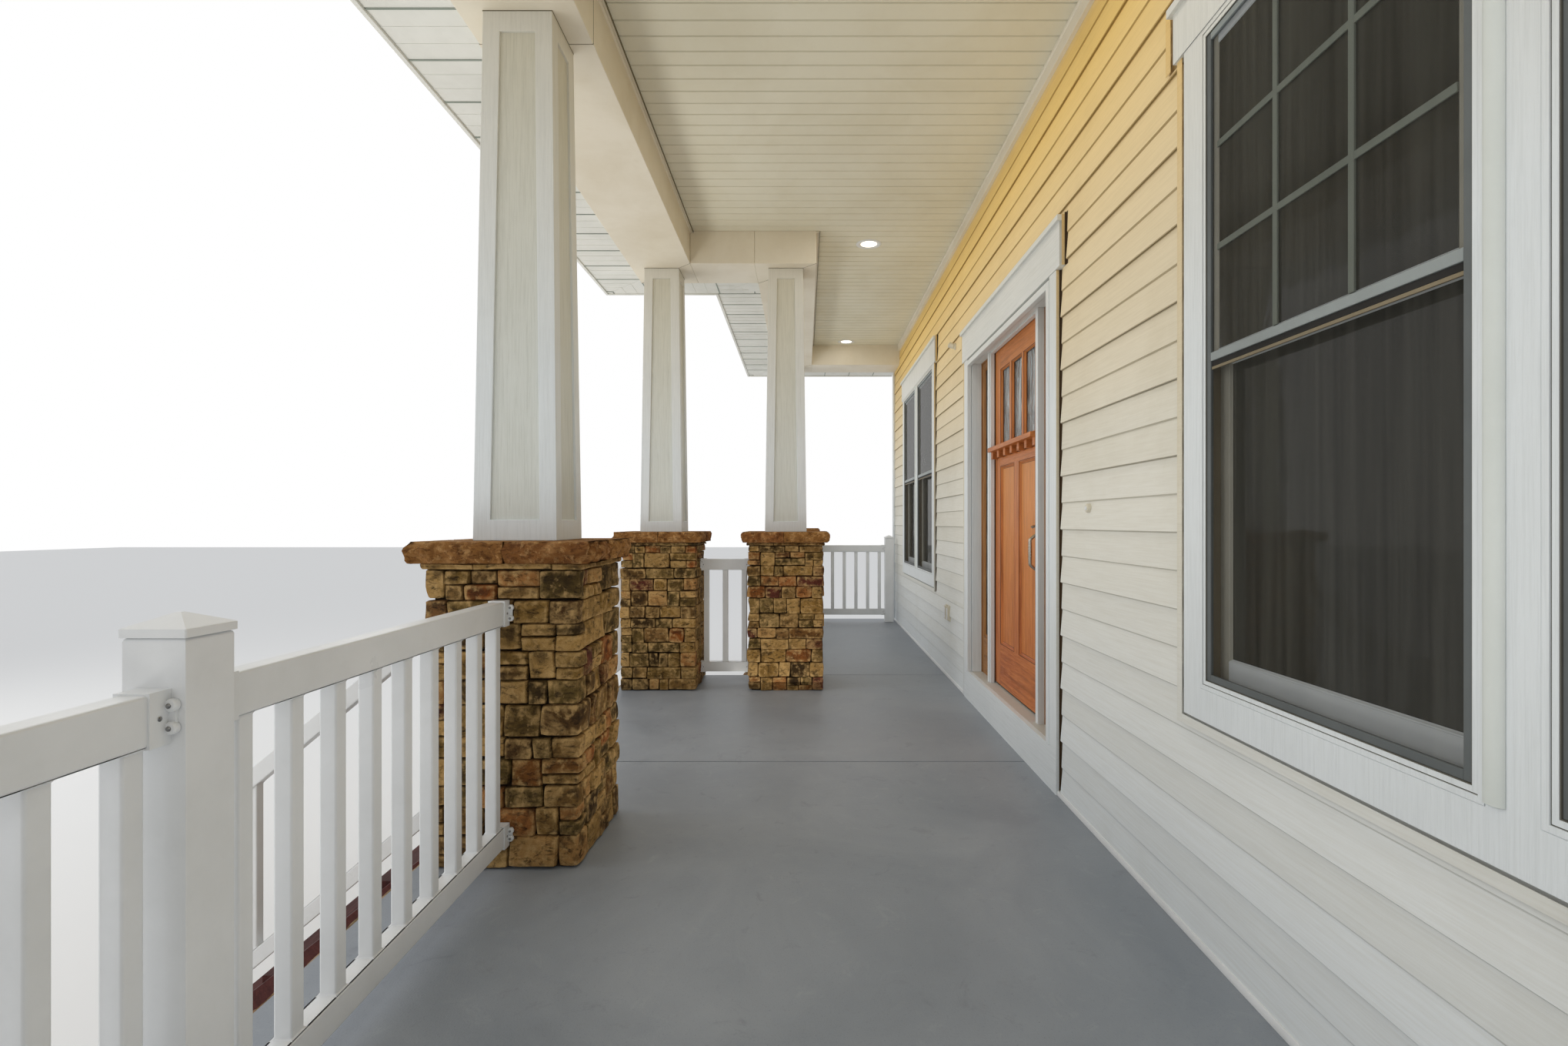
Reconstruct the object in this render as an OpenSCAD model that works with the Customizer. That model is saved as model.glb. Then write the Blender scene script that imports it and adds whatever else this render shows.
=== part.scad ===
// Covered front porch of a house: stone piers, tapered columns, boxed beams, railings,
// an entrance door with sidelites and two double windows in the wall behind it.
// Millimetres. X runs along the house wall, +Y into the house, +Z up.
// The origin lies at ground level, in the outer face of the house wall, under the middle of the door.

/* [Porch floor] */
// Height of the porch floor above the ground
floor_z = 900; // [600:10:1200]
// Thickness of the concrete slab
slab_t = 100; // [80:5:150]
// Distance from the middle of the door to each end of the porch
half_length = 5060; // [4900:10:5600]
// Depth of the wide part of the porch
deep_depth = 2450; // [2200:10:3000]
// Depth of the narrow part of the porch
narrow_depth = 1550; // [1300:10:1700]
// Thickness of the stone facing round the foundation
facing_t = 60; // [40:5:100]
// Drop from the floor to the top of the stone facing
facing_drop = 40; // [20:5:60]
// Width of the joints between the floor slabs
floor_joint = 8; // [4:1:12]
// Distance from the jog back to the other joint across the floor
floor_bay = 2110; // [1500:10:2600]

/* [Stone piers] */
// Side of a square pier
pier_w = 535; // [450:5:600]
// Distance from the middle of the door to the piers beside the stairs
stair_pier_x = 1358; // [1250:2:1500]
// Distance from the edge of the floor to the face of a pier
pier_edge = 30; // [10:5:60]
// Height of a pier with its cap above the floor
pier_h = 1120; // [900:10:1200]
// Thickness of a pier cap
cap_t = 75; // [50:5:100]
// Reach of a pier cap beyond the pier
cap_reach = 48; // [20:2:80]
// Thickness of the thin bed course under a cap
bed_t = 22; // [12:2:40]
// Reach of the bed course beyond the pier
bed_reach = 12; // [6:2:24]
// Open joint between the two stones of a cap
cap_joint = 6; // [4:1:10]

/* [Columns] */
// Width of a column at its foot
column_foot_w = 300; // [260:5:340]
// Width of a column at its head
column_head_w = 250; // [200:5:260]
// Width of the corner boards of a column
column_stile = 62; // [45:1:80]
// Height of the boards across the foot and the head of a column
column_rail = 75; // [50:5:110]
// Depth of the panels sunk into a column
panel_depth = 10; // [6:1:16]

/* [Beams and ceiling] */
// Clear height under the beams
beam_clear = 3030; // [2700:10:3200]
// Width of the boxed beams
beam_w = 440; // [400:5:480]
// Depth of the beams below the ceiling
beam_drop = 230; // [150:5:300]
// Thickness of the ceiling boards
ceiling_t = 12; // [9:1:20]
// Outer diameter of a ceiling light
light_d = 190; // [140:5:220]
// Diameter of the lens of a ceiling light
light_lens_d = 115; // [90:5:130]
// Distance between the ceiling lights
light_pitch = 2993; // [2400:1:3050]
// Distance from the wall to the ceiling lights
light_y = 638; // [500:2:900]

/* [Roof] */
// Reach of the eaves beyond the beams
eave_reach = 350; // [250:10:450]
// Rise of the roof for each unit of run
roof_slope = 0.333; // [0.2:0.01:0.5]
// Thickness of the roof covering and its boards
roof_t = 38; // [25:1:60]
// Reach of the roof covering beyond the fascia boards
roof_drip = 22; // [10:1:40]
// Height of the soffit boards above the underside of the beams
soffit_rise = 30; // [0:5:60]
// Thickness of the soffit boards
soffit_t = 12; // [9:1:20]
// Reach of the fascia boards below the soffit
fascia_drop = 10; // [5:1:25]
// Thickness of the fascia boards
fascia_t = 20; // [16:1:30]
// Depth of the rafters
rafter_h = 140; // [90:5:200]
// Width of the rafters
rafter_w = 38; // [30:1:50]
// Distance between the rafters
rafter_pitch = 610; // [400:5:700]

/* [House wall] */
// Thickness of the framed house wall
wall_t = 114; // [100:2:200]
// Thickness of the foundation wall under the house wall
base_t = 200; // [150:10:300]
// Reach of the foundation wall beyond the face of the house wall
base_ledge = 12; // [5:1:20]
// Height of the wall above the top of the roof
wall_above_roof = 60; // [20:5:150]
// Width of the posts at the ends of the wall
corner_w = 90; // [60:5:120]
// Thickness of the trim boards on the wall
trim_t = 25; // [16:1:35]
// Width of the casing boards beside doors and windows
casing_w = 89; // [70:1:120]
// Height of the head boards over the door and the far window
head_h = 190; // [120:5:240]
// Height of the head board over the near window
near_head_h = 145; // [120:5:240]
// Reach of a head board beyond its casings
head_horn = 55; // [8:1:100]
// Height of the cap strip on a head board
head_cap = 25; // [16:1:35]

/* [Door] */
// Width of the door leaf
door_w = 914; // [800:2:1000]
// Height of the door leaf
door_h = 2032; // [1950:2:2100]
// Thickness of the door leaf
door_t = 44; // [38:1:50]
// Depth of the door leaf behind the face of the wall
door_back = 68; // [60:1:75]
// Depth of the mullions beside the door leaf behind the face of the wall
mullion_back = 30; // [0:1:36]
// Gap round the door leaf
door_gap = 7; // [6:0.5:9]
// Gap under the door leaf
door_sill_gap = 12; // [8:1:20]
// Height of the door sill above the porch floor
sill_z = 193; // [120:1:220]
// Thickness of the door sill
sill_t = 38; // [30:1:50]
// Thickness of the jambs and mullions
jamb_w = 38; // [30:1:50]
// Width of a sidelite
sidelite_w = 300; // [220:5:360]
// Width of the stiles of the door leaf
door_stile = 118; // [95:1:130]
// Width of the bar between the two lower panels
door_mullion = 90; // [60:1:110]
// Height of the top rail of the door leaf
door_top_rail = 124; // [100:1:150]
// Height of the glass in the door leaf
door_glass_h = 458; // [380:2:500]
// Height of the rail between the glass and the panels
door_lock_rail = 129; // [115:1:160]
// Height of the bottom rail of the door leaf
door_bottom_rail = 248; // [180:2:280]
// Width of the bars between the lites of the door leaf
lite_bar = 34; // [24:1:45]
// Depth of the panels sunk into each face of the door leaf
door_panel_depth = 11; // [8:1:14]
// Thickness of the glass
glass_t = 6; // [4:1:10]
// Reach of the shelf on the door
shelf_reach = 55; // [35:1:60]
// Thickness of the shelf board
shelf_t = 26; // [18:1:35]
// Number of blocks under the shelf
shelf_blocks = 7; // [5:1:9]
// Diameter of a hinge knuckle
knuckle_d = 14; // [10:1:16]
// Height of a hinge
hinge_h = 102; // [76:2:114]

/* [Windows] */
// Distance from the middle of the door to the middle of the near window
near_window_x = 3018; // [2950:1:3250]
// Distance from the middle of the door to the middle of the far window
far_window_x = 3121; // [2950:1:3250]
// Width of one window unit
unit_w = 862; // [700:2:900]
// Width of the mullion between two units
window_mullion = 92; // [70:1:120]
// Height of the bottom of the window units above the porch floor
window_sill_z = 728; // [500:2:900]
// Height of the window units
unit_h = 1806; // [1500:1:1900]
// Width of the fixed window frame
window_frame = 26; // [20:1:45]
// Width of the sash stiles
sash_stile = 38; // [30:1:60]
// Height of the bottom rail of the lower sash
sash_bottom = 58; // [45:1:80]
// Height of the meeting rails
meeting_rail = 34; // [26:1:45]
// Reach of the window frames beyond the face of the wall
window_out = 22; // [12:1:25]
// Thickness of a sash
sash_t = 28; // [22:1:32]
// Depth of the upper sash behind the front of the window frame
sash_back = 3; // [1:1:10]
// Gap between the upper and the lower sash
sash_gap = 8; // [2:1:12]

/* [Railings] */
// Height of the top of a railing above the floor
rail_top = 917; // [850:1:1000]
// Height of the top rail
rail_h = 80; // [50:1:100]
// Width of the rails
rail_w = 50; // [38:1:70]
// Height of the underside of the bottom rail above the floor
rail_low = 88; // [60:1:110]
// Height of the bottom rail
low_rail_h = 70; // [50:1:90]
// Side of a square baluster
baluster_w = 38; // [30:1:50]
// Distance between the middles of two balusters
baluster_pitch = 139.7; // [100:0.1:150]
// Side of a square post
post_w = 101.6; // [90:0.1:120]
// Height of a post above the floor without its cap
post_h = 1000; // [950:1:1100]
// Height of a post cap
post_cap_h = 36; // [25:1:60]
// Distance from the middle of the door to the middle of the near railing's post
near_post_x = 2934; // [2600:2:3300]
// Gap between the house wall and the posts beside it
wall_post_gap = 55; // [35:1:90]

/* [Stairs] */
// Number of steps below the porch floor
steps = 4; // [3:1:6]
// Run of one step
step_run = 216; // [200:1:300]
// Thickness of a tread
tread_t = 38; // [30:1:50]
// Reach of a tread beyond the riser below it
nosing = 25; // [15:1:35]
// Thickness of a riser board
riser_t = 19; // [16:1:25]
// Thickness of a stringer
stringer_t = 50; // [38:1:60]
// Distance from the line of the steps to the top of a stair rail
stair_rail_top = 832; // [750:1:950]
// Distance from the top of a stair rail to the top of the rail below it
stair_rail_gap = 689; // [600:1:760]

/* [Hidden] */

// Clearance between pieces that are fitted by hand
fit = 0.3;
// Overlap that fuses two shapes or clears a cut
lap = 1;
// Open joint between two panels or boards in one plane
panel_joint = 2;
// Clearance under a sloping face, more than its corners are rounded by
hair = 0.02;

// Levels
cap_top_z = floor_z + pier_h;
beam_z = floor_z + beam_clear;
ceiling_z = beam_z + beam_drop;
beam_top_z = ceiling_z + ceiling_t;
soffit_z = beam_z + soffit_rise;

// Ceiling lights
light_inset = 164;
can_d = light_d - 36;
light_flange = 5;
lens_back = 6;

// Rows of piers
jog_x = -(stair_pier_x + pier_w / 2 + pier_edge / 2);
end_pier_x = half_length - pier_edge - pier_w / 2;
front_row_y = -(deep_depth - pier_edge - pier_w / 2);
side_row_y = -(narrow_depth - pier_edge - pier_w / 2);
pier_places = [[end_pier_x, front_row_y], [stair_pier_x, front_row_y], [-stair_pier_x, front_row_y],
    [-stair_pier_x, side_row_y], [-end_pier_x, side_row_y]];
light_places = [for (i = [0:2]) -end_pier_x + beam_w / 2 + light_inset + i * light_pitch];

// Roof outline: the wide part and the narrow part
eave_x = end_pier_x + beam_w / 2 + eave_reach;
jog_eave_x = -(stair_pier_x + beam_w / 2 + eave_reach);
front_eave_y = front_row_y - beam_w / 2 - eave_reach;
side_eave_y = side_row_y - beam_w / 2 - eave_reach;
deck_top = beam_top_z + rafter_h - roof_slope * eave_reach;
deck_z = deck_top - roof_slope * fascia_t;
fascia_z = soffit_z - fascia_drop;
roof_top_z = deck_top + roof_t + roof_slope * -front_eave_y;
wall_top_z = roof_top_z + wall_above_roof;

// Door unit
unit_half = door_w / 2 + door_gap + jamb_w + sidelite_w;
frame_half = unit_half + jamb_w;
casing_half = frame_half + casing_w;
sill_top_z = floor_z + sill_z;
door_z = sill_top_z + door_sill_gap;
head_jamb_z = door_z + door_h + door_gap;
frame_top_z = head_jamb_z + jamb_w;
frame_depth = door_back + door_t;
hinge_x = -(door_w + door_gap) / 2;
hinge_y = frame_depth + knuckle_d / 2 + lap / 2;
hinge_places = [door_z + 180, door_z + door_h / 2, door_z + door_h - 180];

// Window units
window_half = unit_w + window_mullion / 2;
window_places = [near_window_x, -far_window_x];
unit_z = floor_z + window_sill_z;
unit_top_z = unit_z + unit_h;

// Stairs
riser_h = floor_z / (steps + 1);
stair_slope = riser_h / step_run;
stair_head_y = -(deep_depth + facing_t);
stair_foot_y = stair_head_y - steps * step_run;
newel_y = stair_foot_y - nosing - post_w / 2;

// Box between two corners
module block(low, high) {
    translate(low) cube(high - low);
}

// Foundation under both parts of the floor, with an upstand of facing stone round the slab
module foundation() {
    color([0.55, 0.45, 0.34]) difference() {
        footprint(floor_z - facing_drop, 0, facing_t);
        footprint(slab_t, floor_z - slab_t, 0);
    }
}

// The plan of the floor, grown by the thickness of its facing
module footprint(height, bottom, grow) {
    translate([0, 0, bottom]) linear_extrude(height) polygon([
        [-half_length - grow, -base_ledge], [half_length + grow, -base_ledge],
        [half_length + grow, -deep_depth - grow], [jog_x - grow, -deep_depth - grow],
        [jog_x - grow, -narrow_depth - grow], [-half_length - grow, -narrow_depth - grow]]);
}

// Foundation wall of the house behind the porch
module house_base() {
    color([0.6, 0.6, 0.58])
        block([-half_length - facing_t, -base_ledge, 0],
            [half_length + facing_t, base_t - base_ledge, floor_z]);
}

// The floor: slabs with open joints between them
module porch_slab() {
    joints = [for (x = [jog_x:floor_bay:half_length - floor_bay / 2]) x];
    color([0.42, 0.47, 0.52]) difference() {
        footprint(slab_t, floor_z - slab_t, 0);
        for (x = joints)
            block([x - floor_joint / 2, -deep_depth - lap, floor_z - slab_t - lap],
                [x + floor_joint / 2, lap, floor_z + lap]);
    }
}

// Stone piers up to the undersides of their caps, each with a thin bed course at its top
module piers() {
    shaft_h = pier_h - cap_t - bed_t;
    bed_half = pier_w / 2 + bed_reach;
    color([0.5, 0.38, 0.25]) for (place = pier_places)
        translate([place[0], place[1], floor_z]) {
            block([-pier_w / 2, -pier_w / 2, 0], [pier_w / 2, pier_w / 2, shaft_h]);
            block([-bed_half, -bed_half, shaft_h], [bed_half, bed_half, shaft_h + bed_t]);
        }
}

// Two cap stones on every pier, with an open joint between them
module pier_caps() {
    cap_half = pier_w / 2 + cap_reach;
    color([0.5, 0.3, 0.2]) for (place = pier_places)
        for (side = [-1, 1])
            translate([place[0] + side * (cap_half + cap_joint / 2) / 2, place[1], cap_top_z - cap_t / 2])
                cube([cap_half - cap_joint / 2, 2 * cap_half, cap_t], center = true);
}

// Solid with four sloping sides, made from two crossed trapezoids
module taper(foot, head, height) {
    side = [[-foot / 2, 0], [foot / 2, 0], [head / 2, height], [-head / 2, height]];
    intersection() {
        rotate([90, 0, 0]) linear_extrude(foot, center = true) polygon(side);
        rotate([90, 0, 90]) linear_extrude(foot, center = true) polygon(side);
    }
}

// Tapered box columns with a panel sunk into each face
module columns() {
    height = beam_z - cap_top_z;
    lean = atan((column_foot_w - column_head_w) / 2 / height);
    panel_foot = column_foot_w / 2 - column_stile;
    panel_head = column_head_w / 2 - column_stile;
    color([0.9, 0.9, 0.88]) for (place = pier_places)
        translate([place[0], place[1], cap_top_z]) difference() {
            taper(column_foot_w, column_head_w, height);
            for (turn = [0:90:270])
                rotate([0, 0, turn]) translate([0, -column_foot_w / 2, 0]) rotate([90 - lean, 0, 0])
                    translate([0, 0, -panel_depth]) linear_extrude(panel_depth + column_foot_w)
                        polygon([[-panel_foot, column_rail], [panel_foot, column_rail],
                            [panel_head, height - column_rail], [-panel_head, height - column_rail]]);
        }
}

// Boxed beams along the front of the wide part and the front of the narrow part
module long_beams() {
    color([0.93, 0.92, 0.9]) {
        block([-stair_pier_x - beam_w / 2, front_row_y - beam_w / 2, beam_z],
            [end_pier_x + beam_w / 2, front_row_y + beam_w / 2, beam_top_z]);
        block([-end_pier_x - beam_w / 2, side_row_y - beam_w / 2, beam_z],
            [-stair_pier_x + beam_w / 2, side_row_y + beam_w / 2, beam_top_z]);
    }
}

// Boxed beams at the jog and from the end columns to the house wall
module cross_beams() {
    color([0.93, 0.92, 0.9]) {
        block([-stair_pier_x - beam_w / 2, front_row_y + beam_w / 2, beam_z],
            [-stair_pier_x + beam_w / 2, side_row_y - beam_w / 2, beam_top_z]);
        block([end_pier_x - beam_w / 2, front_row_y + beam_w / 2, beam_z],
            [end_pier_x + beam_w / 2, 0, beam_top_z]);
        block([-end_pier_x - beam_w / 2, side_row_y + beam_w / 2, beam_z],
            [-end_pier_x + beam_w / 2, 0, beam_top_z]);
    }
}

// Ceiling of both parts inside the beams, cut out for the lights, with a narrow joint at the jog
module ceiling() {
    end_x = end_pier_x - beam_w / 2;
    joint_x = -stair_pier_x + beam_w / 2;
    color([0.88, 0.87, 0.82]) difference() {
        union() {
            block([joint_x, front_row_y + beam_w / 2, ceiling_z], [end_x, 0, beam_top_z]);
            block([-end_x, side_row_y + beam_w / 2, ceiling_z], [joint_x - panel_joint, 0, beam_top_z]);
        }
        for (x = light_places)
            translate([x, -light_y, ceiling_z - lap]) cylinder(h = ceiling_t + 2 * lap, d = can_d, $fn = 48);
    }
}

// Ceiling lights: a flanged ring round a lens set back in its can
module ceiling_lights() {
    color([0.95, 0.95, 0.93]) for (x = light_places)
        translate([x, -light_y, ceiling_z]) difference() {
            union() {
                translate([0, 0, -light_flange]) cylinder(h = light_flange, d = light_d, $fn = 48);
                cylinder(h = ceiling_t, d = can_d - 2 * fit, $fn = 48);
            }
            translate([0, 0, -light_flange - lap]) cylinder(h = lens_back + lap, d = light_lens_d, $fn = 48);
        }
}

// Level soffits under the eaves, outside the beams, mitred at the corners
module soffits() {
    color([0.9, 0.9, 0.88]) translate([0, 0, soffit_z]) linear_extrude(soffit_t) difference() {
        eave_plan(0);
        beam_plan();
        mitres();
    }
}

// Narrow diagonal joints at the corners of the eaves
module mitres() {
    for (corner = [[eave_x, front_eave_y, -45], [jog_eave_x, front_eave_y, 45],
            [jog_eave_x, side_eave_y, 45], [-eave_x, side_eave_y, 45]])
        translate([corner[0], corner[1]]) rotate(corner[2])
            square([4 * eave_reach, panel_joint], center = true);
}

// Plan of the roof as far as its eaves, made smaller by an inset
module eave_plan(inset) {
    polygon([[-eave_x + inset, 0], [eave_x - inset, 0],
        [eave_x - inset, front_eave_y + inset], [jog_eave_x + inset, front_eave_y + inset],
        [jog_eave_x + inset, side_eave_y + inset], [-eave_x + inset, side_eave_y + inset]]);
}

// Plan of the beams and all that they enclose
module beam_plan() {
    outer_x = end_pier_x + beam_w / 2;
    polygon([[-outer_x, lap], [outer_x, lap],
        [outer_x, front_row_y - beam_w / 2], [-stair_pier_x - beam_w / 2, front_row_y - beam_w / 2],
        [-stair_pier_x - beam_w / 2, side_row_y - beam_w / 2], [-outer_x, side_row_y - beam_w / 2]]);
}

// Fascia boards round the eaves, outside the soffits, with a return at the back of both ends
module fascias() {
    color([0.92, 0.92, 0.9]) {
        translate([0, 0, fascia_z]) linear_extrude(deck_z - fascia_z) difference() {
            eave_plan(-fascia_t);
            eave_plan(0);
            mitres();
        }
        back_x = half_length + trim_t;
        front_x = eave_x - panel_joint;
        for (side = [-1, 1])
            scale_x(side) translate([0, -lap, 0]) rotate([90, 0, 0]) linear_extrude(fascia_t)
                polygon([[back_x, soffit_z + soffit_t], [front_x, soffit_z + soffit_t], [front_x, deck_top],
                    [back_x, deck_top + roof_slope * (front_x - back_x)]]);
    }
}

// Solid under a hipped roof over one rectangle, from its front eave to a plane behind it
hip_base = 400;
module hip(left, right, front, back, top_z) {
    run = back - front;
    rise = roof_slope * run;
    translate([0, 0, top_z]) intersection() {
        // slope that falls to the front
        translate([left, 0, 0]) rotate([90, 0, 90]) linear_extrude(right - left)
            polygon([[front, -hip_base], [back, -hip_base], [back, rise], [front, 0]]);
        // slopes that fall to both ends
        translate([0, back, 0]) rotate([90, 0, 0]) linear_extrude(run)
            polygon([[left, -hip_base], [right, -hip_base], [right, 0],
                [right - run, rise], [left + run, rise], [left, 0]]);
    }
}

// Solids under the roofs of the wide part and the narrow part, their eaves moved out by a reach
module main_hip(top_z, reach, back = 0) {
    hip(jog_eave_x - reach, eave_x + reach, front_eave_y - reach, back, top_z - roof_slope * reach);
}
module side_hip(top_z, reach, back = 0) {
    hip(-eave_x - reach, eave_x, side_eave_y - reach, back, top_z - roof_slope * reach);
}

// Roof covering on its boards over both parts, with a narrow joint in the valley between them
drip_out = fascia_t + roof_drip;
roof_low = roof_slope * drip_out;
module roof_covering() {
    color([0.35, 0.35, 0.37]) difference() {
        union() {
            main_hip(deck_top + roof_t, drip_out);
            difference() {
                side_hip(deck_top + roof_t, drip_out);
                main_hip(deck_top + roof_t + panel_joint, drip_out + panel_joint, lap);
            }
        }
        main_hip(deck_top, drip_out, lap);
        side_hip(deck_top, drip_out, lap);
        block([-eave_x - 2 * drip_out, front_eave_y - 2 * drip_out, 0],
            [eave_x + 2 * drip_out, lap, deck_top - roof_low]);
    }
}

// Rafters under the roof boards, cut by the hips
module rafters() {
    count = floor(2 * (eave_x - rafter_w) / rafter_pitch);
    return_back_y = -fascia_t - 2 * lap;
    color([0.75, 0.62, 0.42]) intersection() {
        difference() {
            union() {
                main_hip(deck_top - hair, 0);
                side_hip(deck_top - hair, 0);
            }
            main_hip(deck_top - rafter_h, 0);
            side_hip(deck_top - rafter_h, 0);
            for (side = [-1, 1])
                scale_x(side) block([half_length, return_back_y, 0], [eave_x + lap, lap, wall_top_z]);
        }
        for (i = [0:count])
            block([-eave_x + rafter_w + i * rafter_pitch, front_eave_y, soffit_z + soffit_t],
                [-eave_x + 2 * rafter_w + i * rafter_pitch, 0, wall_top_z]);
    }
}

// Wall pieces that stand from the porch floor to the top, between and beside the openings
module wall_uprights() {
    near_left = near_window_x - window_half;
    near_right = near_window_x + window_half;
    far_left = -far_window_x - window_half;
    far_right = -far_window_x + window_half;
    color([0.86, 0.83, 0.74]) for (span = [[-half_length, far_left], [far_right, -frame_half],
            [frame_half, near_left], [near_right, half_length]])
        block([span[0], 0, floor_z], [span[1], wall_t, wall_top_z]);
}

// Wall pieces over the door and the windows
module wall_heads() {
    color([0.86, 0.83, 0.74]) {
        for (x = window_places)
            block([x - window_half, 0, unit_top_z], [x + window_half, wall_t, wall_top_z]);
        block([-frame_half, 0, frame_top_z], [frame_half, wall_t, wall_top_z]);
    }
}

// Wall pieces under the windows and under the door sill
module wall_sills() {
    color([0.86, 0.83, 0.74]) {
        for (x = window_places)
            block([x - window_half, 0, floor_z], [x + window_half, wall_t, unit_z]);
        block([-frame_half, 0, floor_z], [frame_half, wall_t, sill_top_z - sill_t]);
    }
}

// Trim posts round the ends of the wall
module corner_posts() {
    color([0.93, 0.93, 0.91]) for (side = [-1, 1])
        scale_x(side) difference() {
            block([half_length - corner_w, -trim_t, floor_z], [half_length + trim_t, wall_t, beam_z]);
            block([half_length - corner_w - lap, 0, floor_z - lap], [half_length, wall_t + lap, beam_z + lap]);
        }
}

// Mirror to the other end of the porch
module scale_x(side) {
    mirror([side < 0 ? 1 : 0, 0, 0]) children();
}

// Jambs and mullions of the door unit
leaf_half = door_w / 2 + door_gap;
module door_jambs() {
    color([0.93, 0.93, 0.92]) for (side = [-1, 1])
        scale_x(side) {
            block([unit_half, 0, sill_top_z], [frame_half, frame_depth, head_jamb_z]);
            block([leaf_half, mullion_back, sill_top_z], [leaf_half + jamb_w, frame_depth, head_jamb_z]);
        }
}

// Stops in front of the closed leaf, on the mullions and under the head
stop_reach = 12;
stop_t = 24;
stop_y = door_back - door_gap;
module door_stops() {
    color([0.93, 0.93, 0.92]) {
        for (side = [-1, 1])
            scale_x(side) block([leaf_half - stop_reach, stop_y - stop_t, sill_top_z],
                [leaf_half, stop_y, head_jamb_z]);
        block([-leaf_half + stop_reach + panel_joint, stop_y - stop_t, head_jamb_z - stop_reach],
            [leaf_half - stop_reach - panel_joint, stop_y, head_jamb_z]);
    }
}

// Head of the door unit
module door_head() {
    color([0.93, 0.93, 0.92])
        block([-frame_half, 0, head_jamb_z], [frame_half, frame_depth, frame_top_z]);
}

// Sill under the door and the sidelites
module door_sill() {
    color([0.55, 0.55, 0.55]) block([-frame_half, 0, sill_top_z - sill_t], [frame_half, wall_t, sill_top_z]);
}

// Board from the porch floor up to the top of the door sill
module skirt_board() {
    color([0.94, 0.94, 0.93]) block([-casing_half, -trim_t, floor_z], [casing_half, 0, sill_top_z]);
}

// Casing boards beside the door unit
module door_casings() {
    color([0.94, 0.94, 0.93]) for (side = [-1, 1])
        scale_x(side) block([frame_half, -trim_t, sill_top_z], [casing_half, 0, frame_top_z]);
}

// Head board with a cap strip, for the door or a window
module head_board(half_w, bottom, height) {
    cap_out = 14;
    front = trim_t + 4;
    end = half_w + head_horn;
    translate([0, 0, bottom]) {
        block([-end, -front, 0], [end, 0, height]);
        block([-end - cap_out, -front - cap_out, height], [end + cap_out, 0, height + head_cap]);
    }
}

module door_head_board() {
    color([0.94, 0.94, 0.93]) head_board(casing_half, frame_top_z, head_h);
}

// Glazed side panels: a wood frame in each side opening
sidelite_frame_w = 48;
sidelite_low = sill_top_z;
sidelite_t = 40;
module sidelite_frames() {
    inner = door_w / 2 + door_gap + jamb_w;
    color([0.72, 0.42, 0.22]) for (side = [-1, 1])
        scale_x(side) difference() {
            block([inner, door_back, sidelite_low], [unit_half, door_back + sidelite_t, head_jamb_z]);
            block([inner + sidelite_frame_w, door_back - lap, sidelite_low + door_bottom_rail],
                [unit_half - sidelite_frame_w, door_back + sidelite_t + lap, head_jamb_z - sidelite_frame_w]);
        }
}

module sidelite_glass() {
    inner = door_w / 2 + door_gap + jamb_w;
    glass_y = door_back + (sidelite_t - glass_t) / 2;
    color([0.4, 0.45, 0.48, 0.6]) for (side = [-1, 1])
        scale_x(side) block([inner + sidelite_frame_w, glass_y, sidelite_low + door_bottom_rail],
            [unit_half - sidelite_frame_w, glass_y + glass_t, head_jamb_z - sidelite_frame_w]);
}

// Door leaf: three lites at the top and two sunk panels below, on both faces
lite_w = (door_w - 2 * door_stile - 2 * lite_bar) / 3;
lite_z = door_z + door_h - door_top_rail - door_glass_h;
leaf_panel_w = (door_w - 2 * door_stile - door_mullion) / 2;
leaf_panel_top = lite_z - door_lock_rail;
module door_leaf() {
    color([0.72, 0.4, 0.22]) difference() {
        block([-door_w / 2, door_back, door_z], [door_w / 2, door_back + door_t, door_z + door_h]);
        for (i = [0:2])
            translate([-door_w / 2 + door_stile + i * (lite_w + lite_bar), door_back - lap, lite_z])
                cube([lite_w, door_t + 2 * lap, door_glass_h]);
        for (i = [0:1])
            for (y = [door_back - lap, door_back + door_t - door_panel_depth])
                translate([-door_w / 2 + door_stile + i * (leaf_panel_w + door_mullion), y,
                    door_z + door_bottom_rail])
                    cube([leaf_panel_w, door_panel_depth + lap, leaf_panel_top - door_z - door_bottom_rail]);
    }
}

module door_glass() {
    color([0.5, 0.55, 0.58, 0.6]) for (i = [0:2])
        translate([-door_w / 2 + door_stile + i * (lite_w + lite_bar), door_back + (door_t - glass_t) / 2, lite_z])
            cube([lite_w, glass_t, door_glass_h]);
}

// Shelf under the lites, on a row of square blocks
shelf_side = 22;
shelf_low = 12;
shelf_block_w = 40;
shelf_block_h = 42;
shelf_block_part = 0.6;
module door_shelf() {
    shelf_w = door_w - 2 * shelf_side;
    pitch = (shelf_w - shelf_block_w) / (shelf_blocks - 1);
    block_reach = shelf_reach * shelf_block_part;
    color([0.7, 0.4, 0.22]) translate([0, door_back, lite_z - shelf_low - shelf_t]) {
        block([-shelf_w / 2, -shelf_reach, 0], [shelf_w / 2, 0, shelf_t]);
        for (i = [0:shelf_blocks - 1])
            translate([-shelf_w / 2 + i * pitch, -block_reach, -shelf_block_h])
                cube([shelf_block_w, block_reach, shelf_block_h + lap]);
    }
}

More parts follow.
